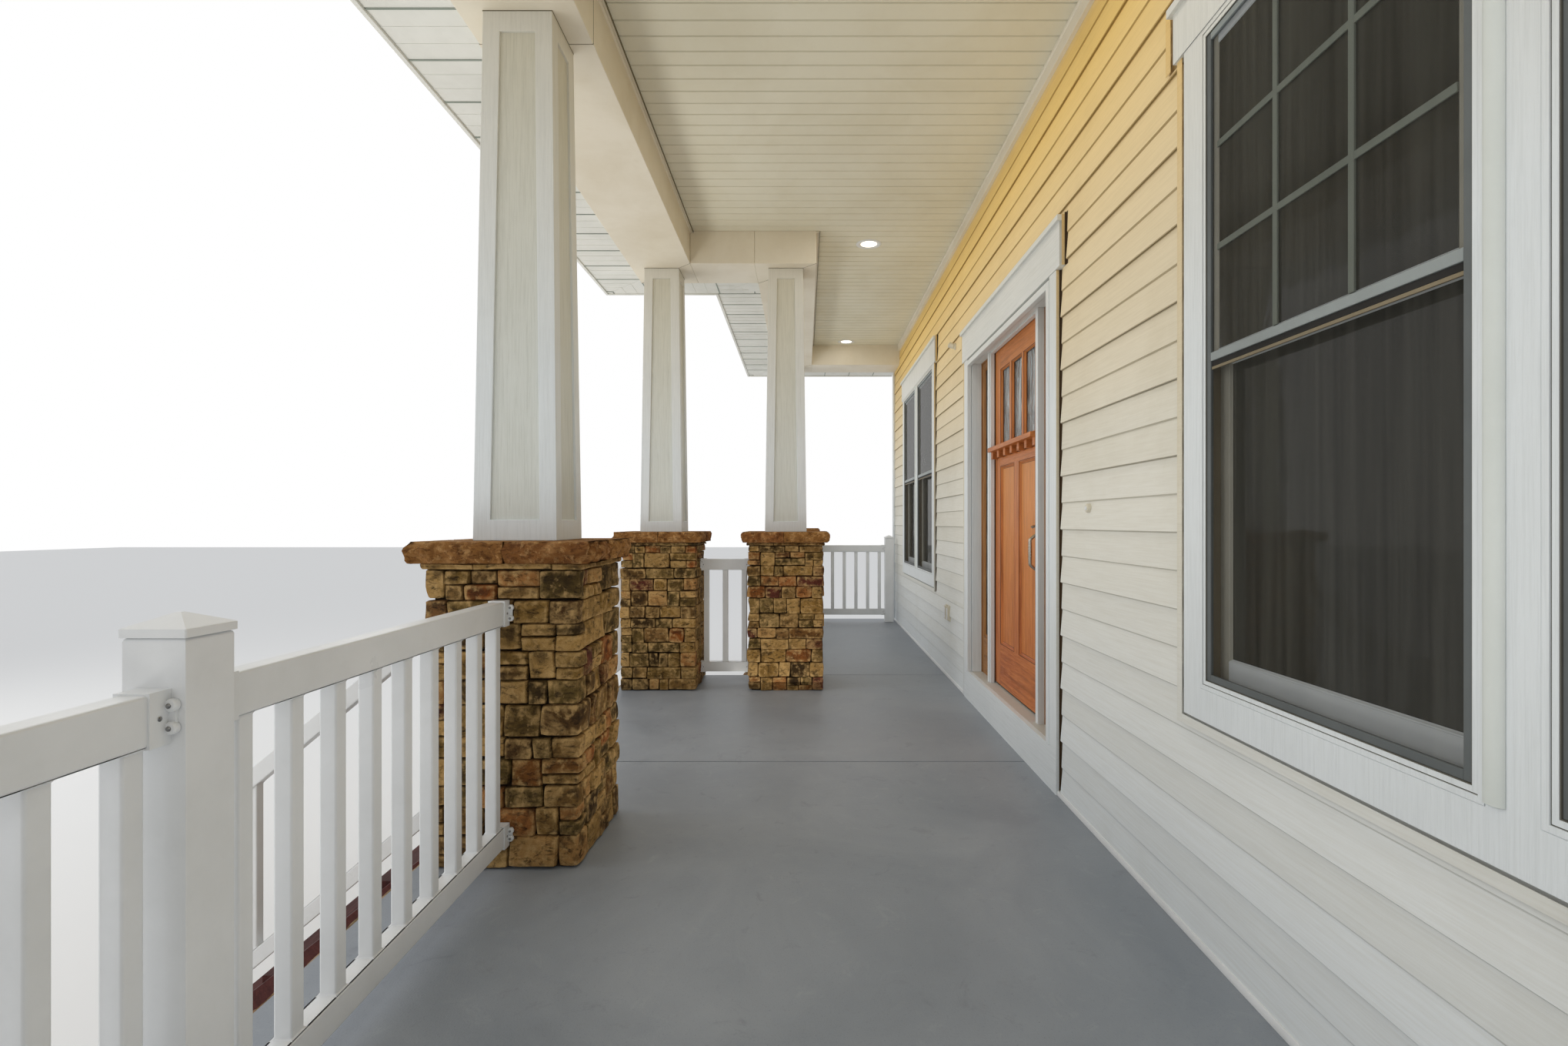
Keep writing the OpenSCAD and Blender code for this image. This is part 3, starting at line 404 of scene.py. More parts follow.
def siding_look(name, shade=1.0):
    """Cream lap boards with a faint pressed grain, cooler low down and golden under the ceiling as painted
    light; shade darkens the whole as painted shade, less low down and browner high up.
    """
    m = Look(name, 0.6, Specular_IOR_Level=0.2)
    grain = m.noise(m.coords((1.1, 30, 30)), 4.5, 7, 0.65, 0.3)
    # painted light: the colour runs by height, cooler low down, a golden glow of warm light under the ceiling
    # and cream again above it
    height = m.height()
    low = m.mix(m.level(height, 0.9, 2.4), (225, 231, 236), (228, 225, 214))
    gold = m.mix(m.level(height, 2.4, 3.9), low, (240, 206, 130))
    m.base = m.mix(m.level(height, 4.05, 4.2), gold, (228, 220, 200))
    m.wash(m.tone(), 0, 1, 0.5, (243, 240, 233), "MULTIPLY")
    m.wash(grain, 0.4, 0.7, 0.35, (230, 226, 218), "MULTIPLY")
    m.wash(m.noise(None, 1.1, 6, 0.65, 0.4), 0.5, 0.8, 0.45, (228, 224, 214), "MULTIPLY")
    # painted shade: a shade below 1 darkens the boards, less low down and browner high up
    if shade < 1:
        high = (shade, shade * 0.92, shade * 0.76, 1)
        dim = m.mix(m.level(height, 1.2, 3.4), grey(min(shade * 1.5, 0.95)), high)
        m.base = m.mix(1.0, m.base, dim, "MULTIPLY")
    m.bump(grain, 0.0006, 0.6)
    return m.done()


def wood_look(name, axis, light, mid, dark, rough=0.42, coat=0.05, gold=0.0):
    """Stained wood with grain along one axis and pores; gold lightens it towards the top of the door."""
    stretch = stretched(axis, 0.9, 16.0)
    m = Look(name, rough, Coat_Weight=coat, Coat_Roughness=0.22, Specular_IOR_Level=0.22)
    bands = m.noise(m.coords(stretch), 2.0, 6, 0.6, 1.4)
    fibre = m.noise(m.coords(tuple(s * 3 for s in stretch)), 5.0, 5, 0.7, 0.2)
    m.base = m.ramp(bands, (0.25, dark), (0.48, mid), (0.72, light))
    m.wash(fibre, 0.45, 0.75, 0.45, dark)
    m.wash(m.noise(m.coords(), 2.2, 3, 0.5), 0.4, 0.75, 0.35, light)
    if gold:
        m.wash(m.height(), 1.5, 2.9, gold, (222, 154, 78))
    m.set("Roughness", m.level(fibre, 0.3, 0.7, rough - 0.06, rough + 0.12))
    m.bump(fibre, 0.0004, 0.5)
    return m.done()


def metal_look(name, colour, rough=0.3, axis="z", metallic=1.0):
    m = Look(name, rough, colour, Metallic=metallic)
    lines = m.noise(m.coords(stretched(axis, 1, 60)), 14, 3, 0.6)
    smear = m.noise(m.coords(), 12, 4, 0.6)
    m.set("Roughness", m.level(smear, 0.3, 0.7, rough - 0.07, rough + 0.14))
    m.bump(lines, 0.0001, 0.5)
    return m.mat


def wavy_glass(name):
    """Obscured door glass: seedy waves that run down the pane."""
    m = Look(name, 0.06, (176, 184, 184), Transmission_Weight=0.55, IOR=1.45)
    waves = m.noise(m.coords((7, 7, 1.6)), 2.6, 3, 0.5, 1.6)
    seeds = m.noise(m.coords((3, 3, 1)), 26, 2, 0.5, 0.3)
    m.base = m.ramp(waves, (0.3, (120, 128, 130)), (0.6, (206, 212, 212)))
    m.bump(seeds, 0.002, 0.7, m.bump(waves, 0.02, 0.9))
    return m.done()


def dark_glass(name, colour):
    """A window pane with a dim room behind it; slow waves bend what it mirrors."""
    colour = linear(colour)
    m = Look(name, 0.05, colour, Specular_IOR_Level=0.32)
    dim = m.noise(m.coords((5, 5, 0.3)), 2.2, 4, 0.6, 0.4)
    m.base = m.mix(m.level(dim, 0.4, 0.7), colour, (*(c * 1.9 for c in colour[:3]), 1))
    m.bump(m.noise(m.coords(), 3.5, 2, 0.5, 0.8), 0.004, 0.35)
    return m.done()


def screen_look():
    """Insect screen seen as a dark veil, a little uneven down its length."""
    m = Look("insect_screen", 0.75, Specular_IOR_Level=0.1, Alpha=0.38)
    streak = m.noise(m.coords((46, 46, 0.8), vary=False), 1.0, 4, 0.6, 0.2)
    m.base = m.ramp(streak, (0.35, (44, 43, 40)), (0.7, (74, 73, 68)))
    return m.done()


def shingle_look():
    m = Look("shingles", 0.95, Specular_IOR_Level=0.2)
    grit = m.noise(m.coords(), 420, 2, 0.6)
    m.base = m.ramp(m.tone(), (0.0, (70, 72, 78)), (0.5, (98, 98, 103)), (1.0, (128, 126, 128)))
    m.wash(grit, 0.4, 0.65, 0.5, (150, 148, 146))
    m.wash(m.noise(m.coords(), 5, 4, 0.6), 0.45, 0.7, 0.35, (62, 62, 66))
    m.bump(grit, 0.0015, 0.8)
    return m.done()


def glow_look():
    m = Look("light_lens", 0.4, (255, 250, 240), Emission_Color=(255, 244, 226), Emission_Strength=2.2)
    m.bump(m.noise(m.coords(), 300, 1), 0.0003, 0.4)
    return m.mat


STONE = stone_look("ledge_stone", (
    (0.0, (56, 38, 16)), (0.12, (92, 74, 36)), (0.26, (142, 108, 54)), (0.40, (184, 148, 92)),
    (0.52, (142, 76, 30)), (0.62, (94, 76, 38)), (0.75, (158, 124, 72)), (0.87, (74, 50, 24)),
    (0.93, (132, 100, 54)), (0.96, (88, 42, 30)), (1.0, (96, 48, 36))),
    (36, 24, 10), (204, 168, 112))
LEDGE = stone_look("footing_stone", (
    (0.0, (104, 84, 60)), (0.2, (134, 118, 86)), (0.45, (158, 132, 98)), (0.62, (150, 112, 74)),
    (0.8, (158, 132, 98)), (1.0, (190, 166, 132))), (84, 66, 44), (198, 176, 140))
CAP = stone_look("cap_stone", (
    (0.0, (132, 86, 44)), (0.3, (150, 106, 56)), (0.6, (142, 92, 50)), (1.0, (160, 118, 66))),
    (78, 44, 20), (204, 162, 108), 1.3)
MORTAR = mortar_look()
WHITE, WHITE_SHADE = (222, 227, 230), (188, 193, 194)
GRAIN_Z = paint_grain("white_wood_upright", WHITE, WHITE_SHADE, "z")
GRAIN_X = paint_grain("white_wood_level", WHITE, WHITE_SHADE, "x")
# the columns' sunk panels: coarser grain, and greyer as painted shade
COLUMN_PANEL_SHADE = paint_grain("column_panel", (213, 216, 211), (180, 183, 175), "z", 0.0016, 0.5, 0.5)
METAL_WHITE = smooth_paint("beam_wrap", (228, 220, 202), (206, 194, 168), 0.42)
CEILING = smooth_paint("ceiling_panel", (222, 218, 199), (206, 199, 175), 0.5)
# painted shadow: the dark lines in the ceiling joints and at the beams' seams, mitres, column heads and ceiling
# trim
PAINTED_SHADOW_LINE = smooth_paint("painted_shadow_line", (112, 104, 78), (86, 78, 56), 0.7)
SOFFIT = smooth_paint("soffit_panel", (228, 228, 222), (198, 198, 190), 0.5)
VINYL = smooth_paint("rail_vinyl", (223, 225, 227), (196, 198, 198), 0.3, 0.0002, 0.1)
FLOOR = floor_look()
SIDING = siding_look("lap_siding")
# painted shade under the butts of the lap boards
LAP_SHADE = siding_look("lap_painted_shade", 0.58)
# painted shade: the channel lips a little darker than the siding, their recesses and the narrow slots beside
# the trim much darker
CHANNEL = siding_look("siding_channel", 0.92)
CHANNEL_SHADE = siding_look("channel_painted_shade", 0.5)
SLOT_SHADE = smooth_paint("slot_painted_shade", (72, 54, 34), (50, 37, 24), 0.8)
DOOR_TONES = (206, 130, 74), (178, 100, 55), (116, 60, 30)
DOOR_Z = wood_look("door_wood_upright", "z", *DOOR_TONES, gold=0.25)
DOOR_X = wood_look("door_wood_level", "x", *DOOR_TONES, gold=0.25)
DOOR_PANEL = wood_look("door_panel_wood", "z", (214, 140, 78), (190, 112, 58), (128, 68, 32), gold=0.7)
# painted shadow: the dark lines round the door's panels and panes, and the shade under the shelf
DOOR_SHADOW_LINE = smooth_paint("door_painted_shadow", (92, 48, 24), (64, 32, 16), 0.6)
SIDE_TONES = (176, 128, 78), (148, 102, 58), (98, 66, 38)
SIDE_Z = wood_look("sidelite_wood_upright", "z", *SIDE_TONES)
SIDE_X = wood_look("sidelite_wood_level", "x", *SIDE_TONES)
STAIR = wood_look("stair_paint", "x", (96, 52, 48), (74, 38, 36), (50, 26, 25), 0.6, 0.0)
RISER = wood_look("stair_board", "x", (92, 66, 44), (66, 44, 28), (40, 27, 18), 0.7, 0.0)
RAFTER = wood_look("rafter_wood", "y", (208, 172, 122), (186, 148, 98), (140, 104, 64), 0.75, 0.0)
NICKEL = metal_look("satin_nickel", (196, 190, 178), 0.26)
STEEL = metal_look("screw_steel", (150, 150, 150), 0.35)
SILL_METAL = metal_look("sill_metal", (198, 196, 190), 0.5, "x", 0.1)
DOOR_GLASS = wavy_glass("door_glass")
PANE = dark_glass("window_pane", (56, 56, 51))
SCREEN = screen_look()
SASH = smooth_paint("window_vinyl", (228, 234, 238), (194, 200, 203), 0.45)
SCREEN_RAIL = smooth_paint("screen_frame", (142, 149, 149), (108, 114, 114), 0.42)
# a shaded copy of the sash vinyl: painted shade on the sash uprights
SASH_UPRIGHT_SHADE = smooth_paint("sash_stile", (182, 180, 168), (146, 142, 128), 0.5)
# a shaded copy of the screen frame: painted shade on its uprights and foot
SCREEN_FRAME_SHADE = smooth_paint("screen_frame_painted_shade", (96, 101, 102), (66, 70, 70), 0.5)
# painted shadow: dark lines in the gaps between the steps of the window mouldings
MOULDING_SHADOW_LINE = smooth_paint("moulding_painted_shadow", (96, 94, 86), (70, 68, 60), 0.7)
GRILLE = smooth_paint("window_bar", (146, 154, 144), (118, 126, 116), 0.5)
STRIP = smooth_paint("mullion_strip", (214, 219, 216), (190, 196, 190), 0.4)
LINER = smooth_paint("window_liner", (128, 116, 92), (92, 82, 62), 0.55)
# black rubber of the door seals and the camera's eye, also used as painted shade under the windows' meeting
# rails
SEAL_AND_SHADE = smooth_paint("black_seal_and_painted_shade", (30, 28, 26), (18, 17, 16), 0.7)
SHINGLES = shingle_look()
CONCRETE = smooth_paint("concrete", (168, 164, 154), (132, 128, 118), 0.9, 0.002)
PLASTER = smooth_paint("wall_back", (216, 212, 204), (190, 186, 176), 0.85, 0.0008)
FITTING = smooth_paint("fitting_plastic", (214, 208, 190), (180, 172, 152), 0.45)
LENS = glow_look()


# ---------------------------------------------------------------- split stone

JOINT_DEEP, JOINT_HALF = 0.020, 0.0014   # how far a joint lies back, and half its width
SWAY_FROM = Vector((31, 7, 0)), Vector((0, 47, 19))   # where the noises that shift an edge are read


class Path:
    """A run of wall faces seen from above; stone grows to the right of its direction."""

    def __init__(self, corners, closed):
        self.closed = closed
        self.corners = [Vector((*c, 0)) for c in corners]
        ends = self.corners[1:] + self.corners[:1] if closed else self.corners[1:]
        self.legs = [(a, (b - a).normalized(), (b - a).length) for a, b in zip(self.corners, ends)]
        self.marks = [0.0]
        for leg in self.legs:
            self.marks.append(self.marks[-1] + leg[2])
        self.length = self.marks[-1]

    def out(self, k):
        d = self.legs[k][1]
        return Vector((d.y, -d.x, 0))

    def at(self, u):
        """The point at u and the direction that stone stands out there, longer at a corner."""
        if self.closed:
            u %= self.length
        k = len(self.legs) - 1
        while k > 0 and u < self.marks[k] - 1e-6:
            k -= 1
        start, along, _ = self.legs[k]
        point, normal = start + along * (u - self.marks[k]), self.out(k)
        if abs(u - self.marks[k]) < 1e-6 and (self.closed or k > 0):
            other = self.out(k - 1)
            normal = (normal + other) / (1 + normal.dot(other))
        return point, normal

    def turns(self, a, b):
        """Corners strictly between two places."""
        found = []
        for lap in ((0, self.length) if self.closed else (0,)):
            for m in (self.marks[:-1] if self.closed else self.marks[1:-1]):
                if a + 1e-4 < m + lap < b - 1e-4:
                    found.append(m + lap)
        return found

    def near_turn(self, u, reach):
        return bool(self.turns(u - reach, u + reach)) or (self.closed and bool(
            self.turns(u - reach + self.length, u + reach + self.length)))


def stone(shape, rng, path, u0, u1, z0, z1, proud, even=False):
    """One stone: rounded outline, edges that drop into the joint, a rough split face between them."""
    tone = rng.random()
    seed = Vector((rng.uniform(0, 90), rng.uniform(0, 90), rng.uniform(0, 90)))
    lift = proud * (rng.uniform(0.8, 1.0) if even else rng.uniform(0.3, 1.0))
    lean_u, lean_z = rng.uniform(-0.005, 0.005), rng.uniform(-0.004, 0.004)
    u0, u1, z0, z1 = u0 + JOINT_HALF, u1 - JOINT_HALF, z0 + JOINT_HALF, z1 - JOINT_HALF
    mid_u, mid_z, half_u, half_z = (u0 + u1) / 2, (z0 + z1) / 2, (u1 - u0) / 2, (z1 - z0) / 2
    radius = min(half_u, half_z) * rng.uniform(0.1, 0.38)
    rim = min(0.0042, half_u * 0.3, half_z * 0.3)
    skew = rng.uniform(-0.06, 0.06)

    def lines(a, b, step, extra=()):
        n = max(2, round((b - a) / step))
        inner = [a + rim + (b - a - 2 * rim) * i / n for i in range(n + 1)]
        inner = [c for c in inner if all(abs(c - e) > 0.007 for e in extra)] + list(extra)
        return [a, a] + sorted(inner) + [b, b]

    turns = path.turns(u0, u1)
    us, zs = lines(u0, u1, 0.020, turns), lines(z0, z1, 0.020)
    rows, wear_and_light = [], []
    for j, z in enumerate(zs):
        row = []
        for i, u in enumerate(us):
            ring = min(i, j, len(us) - 1 - i, len(zs) - 1 - j)
            x, y = u - mid_u, z - mid_z
            x += skew * y
            over_x, over_y = abs(x) - half_u + radius, abs(y) - half_z + radius
            if over_x > 0 and over_y > 0:
                k = max(over_x, over_y) / math.hypot(over_x, over_y)
                x = math.copysign(half_u - radius + over_x * k, x)
                y = math.copysign(half_z - radius + over_y * k, y)
            spot = Vector((u, z, 0)) + seed
            sway = Vector([noise.noise(spot * 13 + away) for away in SWAY_FROM]) * 0.0034
            keep = u in turns
            point, normal = path.at(u if keep else mid_u + x)
            s, t = x / half_u, y / half_z
            split = abs(noise.noise(spot * 8 + Vector((7, 3, 1)))) * 0.012
            face = lift + 0.002 + lean_u * s + lean_z * t - split + noise.noise(spot * 22) * 0.005
            depth = (-JOINT_DEEP, face * 0.35 - 0.001, face * 0.85)[ring] if ring < 3 else face
            if keep:
                depth = min(depth, lift) - 0.003
            place = point + normal * depth
            if not keep:
                place += Vector((normal.y, -normal.x, 0)).normalized() * sway.x
            row.append((place.x, place.y, max(mid_z + y + sway.y, 0.0)))
            # joint edges dark; rims pale as wear and painted highlight
            wear_and_light.append((-1.0, 0.0, 1.0)[ring] if ring < 3 else 0.0)
        rows.append(row)
    shape.grid(rows, tone, 0, wear_and_light)


def ledge(shape, rng, path, low, high, proud, band, wides):
    """Fills a wall with bands of stone; a cell of a band holds one stone, two low ones or a split row."""
    z = low
    while z < high - 1e-4:
        tall = min(rng.uniform(*band), high - z)
        if high - z - tall < band[0] * 0.6:
            tall = high - z
        start = rng.uniform(0, 0.12)
        u = start if path.closed else 0.0
        end = start + path.length if path.closed else path.length
        while u < end - 1e-4:
            wide = rng.uniform(*rng.choice(wides))
            if end - u - wide < wides[0][0] * 1.4:
                wide = end - u
            while path.near_turn(u + wide, 0.05) and abs(u + wide - end) > 1e-4:
                wide += 0.03
            if u + wide > end - 0.05:
                wide = end - u
            cell(shape, rng, path, u, u + wide, z, z + tall, proud)
            u += wide
        z += tall


def cell(shape, rng, path, u0, u1, z0, z1, proud):
    tall, wide = z1 - z0, u1 - u0
    slip = rng.uniform(-0.005, 0.005) if z0 > 0.01 else 0.0
    cuts = [z0, z1]
    if tall > 0.092 and wide > 0.10 and rng.random() < 0.34:
        cuts = [z0, z0 + tall * rng.uniform(0.38, 0.62), z1]
    for a, b in zip(cuts, cuts[1:]):
        marks = [u0, u1]
        if wide > 0.17 and len(cuts) > 2 and rng.random() < 0.65 or wide > 0.27:
            middle = u0 + wide * rng.uniform(0.32, 0.68)
            if not path.near_turn(middle, 0.04):
                marks = [u0, middle, u1]
        for c, d in zip(marks, marks[1:]):
            stone(shape, rng, path, c, d, a + slip, b + slip * 0.5, proud)


def around(low, high):
    return Path([(low.x, low.y), (high.x, low.y), (high.x, high.y), (low.x, high.y)], True)


def make_piers():
    """Every pier: a dark core, split stones round it and the flat course under its cap."""
    shape, rng = Shape(), random.Random(11)
    wides = ((0.062, 0.10), (0.09, 0.15), (0.10, 0.17), (0.16, 0.25))
    core_in = Vector((JOINT_DEEP, JOINT_DEEP, 0)) * 0.7
    bed_z, bed_in, face_in, bed_start = cap_boxes[0][0].z - 0.022, 0.008, 0.026, 0.09
    for low, high in pier_boxes:
        a = Vector((low.x + face_in, low.y + face_in, low.z))
        b = Vector((high.x - face_in, high.y - face_in, bed_z))
        shape.box(a + core_in, b - core_in, 0.5, 1)
        ledge(shape, rng, around(a, b), low.z + 0.003, bed_z, 0.021, (0.066, 0.112), wides)
        a = Vector((low.x + bed_in, low.y + bed_in, bed_z))
        b = Vector((high.x - bed_in, high.y - bed_in, high.z))
        ring, marks = around(a, b), [0.0]
        while marks[-1] < ring.length - 0.12:
            step = rng.uniform(0.2, 0.42)
            while ring.near_turn(marks[-1] + step, 0.05):
                step += 0.03
            marks.append(min(marks[-1] + step, ring.length))
        for c, d in zip(marks, marks[1:] + [ring.length]):
            if d - c > 0.02:
                stone(shape, rng, ring, c + bed_start, d + bed_start, bed_z, high.z, 0.006, True)
        shape.box(a + core_in, b - core_in, 0.4, 1)
    shape.piece("pier_stones", [STONE, MORTAR], "ledge_stone", replaces=["piers"], smooth=42)


def make_foundation():
    """The stone-faced foundation, and the stones of its facing that stand up round the slab."""
    low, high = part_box("foundation")
    slab_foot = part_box("porch_slab")[0].z
    shape, rng = Shape(), random.Random(5)
    face_in, core_in, facing, past_slab = 0.010, 0.013, 0.058, 0.06
    jog_x, side_y = (v - past_slab + face_in for v in cut_of_slab())
    left, right, front = low.x + face_in, high.x - face_in, low.y + face_in

    def plan(d):
        return [(left + d, high.y), (left + d, side_y + d), (jog_x + d, side_y + d),
                (jog_x + d, front + d), (right - d, front + d), (right - d, high.y)]

    ledge(shape, rng, Path(plan(0), False), 0.0, high.z - 0.001, 0.017, (0.10, 0.16),
          ((0.11, 0.18), (0.15, 0.24), (0.2, 0.3)))
    outer, inner = plan(core_in), plan(facing)
    shape.prism(outer, 0.0, slab_foot, 0.5, 1)
    top = high.z - 0.002
    for k in range(5):
        a, b, c, d = (Vector(p) for p in (outer[k], outer[k + 1], inner[k + 1], inner[k]))
        length = (b - a).length
        gap = 0.002 / length
        shape.prism([a, b, c, d], slab_foot, top - 0.012, 0.5, 1)
        t0 = 0.0
        while t0 < 1:
            t1 = t0 + rng.uniform(0.14, 0.34) / length
            t1 = 1.0 if t1 > 1 - 0.1 / length else t1
            quad = [a.lerp(b, t0 + gap), a.lerp(b, t1 - gap), d.lerp(c, t1 - gap), d.lerp(c, t0 + gap)]
            shape.prism(quad, slab_foot, top + rng.uniform(0.004, 0.022), rng.random(), 0)
            t0 = t1
    shape.piece("foundation_stones", [LEDGE, MORTAR], "ledge_stone", replaces=["foundation"], smooth=42)


def column_heads():
    """The outlines of the tapered columns where they meet the beams, as (low, high) pairs from -X to +X."""
    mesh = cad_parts["columns"].data
    heads = []
    for low, high in column_boxes:
        tips = [v.co for v in mesh.vertices if v.co.z > beam_z - 0.002
                and low.x <= v.co.x <= high.x and low.y <= v.co.y <= high.y]
        heads.append(extent(tips))
    return heads


def cut_of_slab():
    """Where the floor steps back: the X of the jog and the Y of the narrow part's edge."""
    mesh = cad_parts["porch_slab"].data
    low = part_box("porch_slab")[0]
    ys = [v.co.y for v in mesh.vertices if abs(v.co.x - low.x) < 1e-4]
    xs = [v.co.x for v in mesh.vertices if abs(v.co.y - low.y) < 1e-4]
    return min(xs), min(ys)


def make_caps():
    """Two rock-faced cap stones side by side on every pier, sawn flat on top; their tops paler as painted
    highlight and their lower edge darker as painted shade.
    """
    shape, rng = Shape(), random.Random(23)
    inset, joint, count = 0.012, 0.0015, 190
    bulge = {0.0: -0.014, 0.03: -0.004, 0.16: 0.001, 0.3: 0.004, 0.45: 0.006, 0.6: 0.005,
             0.74: 0.003, 0.86: -0.001, 0.95: -0.005, 1.0: -0.011}
    # painted light by height: the bottom row darker as painted shade, the top rows and the top face paler as
    # wear and painted highlight
    rim_wear_and_light = {0.0: -0.5, 1.0: 0.9, 0.95: 0.7}
    for low, high in cap_boxes:
        middle = (low.y + high.y) / 2 + rng.uniform(-0.02, 0.02)
        for y0, y1, mate in ((low.y + inset, middle - joint, middle - joint),
                             (middle + joint, high.y - inset, middle + joint)):
            tone = rng.random()
            seed = Vector((rng.uniform(0, 50), rng.uniform(0, 50), rng.uniform(0, 50)))
            ring = around(Vector((low.x + inset, y0, 0)), Vector((high.x - inset, y1, 0)))
            us = sorted({round(ring.length * i / count, 5) for i in range(count)}
                        | {round(m, 5) for m in ring.marks[:-1]})
            rows, wear_and_light = [], []
            for part, push in bulge.items():
                row = []
                z = low.z + (high.z - low.z) * part
                for u in us + us[:1]:
                    point, normal = ring.at(u)
                    spot = Vector((point.x, point.y, z)) + seed
                    tilt = spot + Vector((spot.z, spot.z, 0)) * 0.9
                    chip = 0.008 - abs(noise.noise(tilt * 12)) * 0.040 + noise.noise(spot * 30) * 0.007
                    out = push + chip * (0.3 if part in (0.0, 1.0) else 1.0)
                    place = point + normal * max(min(out, 0.0115), -0.019)
                    if abs(point.y - mate) < 1e-5:
                        place.y = mate
                    row.append((place.x, place.y, z + noise.noise(spot * 17) * 0.0022 * (0 < part < 1)))
                    wear_and_light.append(rim_wear_and_light.get(part, 0.0))
                rows.append(row)
            shape.grid(rows, tone, 0, wear_and_light)
            top, bottom = rows[-1][:-1], rows[0][:-1]
            shape.add(top, [list(range(len(top)))], tone, 0, [0.5] * len(top))
            shape.add(bottom, [list(range(len(bottom)))[::-1]], tone)
    shape.piece("cap_stones", [CAP], "cap_stone", replaces=["pier_caps"], smooth=48)


# ---------------------------------------------------------------- wall

def openings():
    """Rectangles that siding stays out of: (x0, x1, z0, z1, foot), foot where it runs on below."""
    rects = []
    for low, high in solids("window_casings"):
        jamb_low, jamb_high = next(b for b in solids("window_frames") if low.x < b[0].x < high.x)
        left, right = casing_edge(low.x, jamb_low.x), casing_edge(high.x, jamb_high.x)
        rects.append((left, right, low.z, jamb_high.z, True))
        rects.append((low.x, high.x, jamb_high.z, high.z, False))
    door_low, door_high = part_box("door_head_board")
    skirt_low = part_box("skirt_board")[0]
    casing_low, casing_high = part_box("door_casings")
    rects.append((casing_low.x, casing_high.x, skirt_low.z, casing_high.z, False))
    rects.append((door_low.x, door_high.x, door_low.z, door_high.z, False))
    return rects


def casing_edge(horn, jamb):
    """The outer edge of a window casing, between the end of its head board and the window frame."""
    return jamb + math.copysign(CASING_WIDE, horn - jamb)


CASING_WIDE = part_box("door_casings")[1].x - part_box("door_head")[1].x
POST_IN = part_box("corner_posts")[1].x - 0.115   # inner edge of the corner boards
CHANNEL_WIDE, CHANNEL_LIP = 0.045, 0.028   # the channel on the far side of an opening, and its lip
NEAR_GAP, HEAD_GAP, FOOT_WIDE = 0.022, 0.009, 0.034   # how far siding stays off on the other sides
EXPOSURE = 0.1143                # height of a course
BUTT, LAP_TOP = 0.0125, 0.003    # how far a board stands out at its foot and at its top


def make_siding():
    """Lap boards on the whole wall, two courses to a panel, cut back to the channels at every opening."""
    shape, rng = Shape(), random.Random(3)
    rects = [(x0 - CHANNEL_WIDE + 0.004, x1 + NEAR_GAP, z0 - (FOOT_WIDE - 0.006) * foot, z1 + HEAD_GAP)
             for x0, x1, z0, z1, foot in openings()]
    course, z = 0, floor_z + 0.012
    while z < wall_top - 0.01:
        top = min(z + EXPOSURE, wall_top - 0.004)
        ends = POST_IN if z < beam_z else wall_high_x - 0.004
        cuts = sorted({z, top, *[v for r in rects for v in (r[2], r[3]) if z < v < top]})
        for a, b in zip(cuts, cuts[1:]):
            spans = [(-ends, ends)]
            for x0, x1, z0, z1 in rects:
                if z0 < (a + b) / 2 < z1:
                    spans = [s for p in spans for s in ((p[0], min(p[1], x0)), (max(p[0], x1), p[1]))
                             if s[1] - s[0] > 0.002]
            for x0, x1 in spans:
                lap_board(shape, x0, x1, a, b, z, course, rng.random())
        z = top
        course += 1
    shape.piece("lap_siding", [SIDING, LAP_SHADE], "siding", smooth=25)


def lap_board(shape, x0, x1, a, b, z, course, tone):
    """One course between two heights: a sloping face over a square butt edge; the butt's underside and a thin
    strip on the board below carry painted shade.
    """
    lock = course % 2 == 0
    butt = BUTT if lock else BUTT * 0.62

    def out(height):
        return butt + (LAP_TOP - butt) * (height - z) / EXPOSURE

    profile = []
    if a == z:
        under = 0.0035 if lock else 0.002
        profile += [(-0.0005, a + under), (-out(a) + 0.002, a), (-out(a), a + 0.0026)]
    else:
        profile += [(-0.0005, a), (-out(a), a)]
    profile += [(-out(b), b), (-0.0005, b)]
    shape.prism(profile[::-1], x0, x1, tone, 0, "yzx")
    if a == z:
        # painted shade: the butt's underside and chamfer, and a strip under the butt on the board below
        shape.mats[-3:-1] = [1, 1]
        shape.box((x0, -LAP_TOP - 0.0022, a - 0.0022), (x1, -LAP_TOP, a), tone, 1)


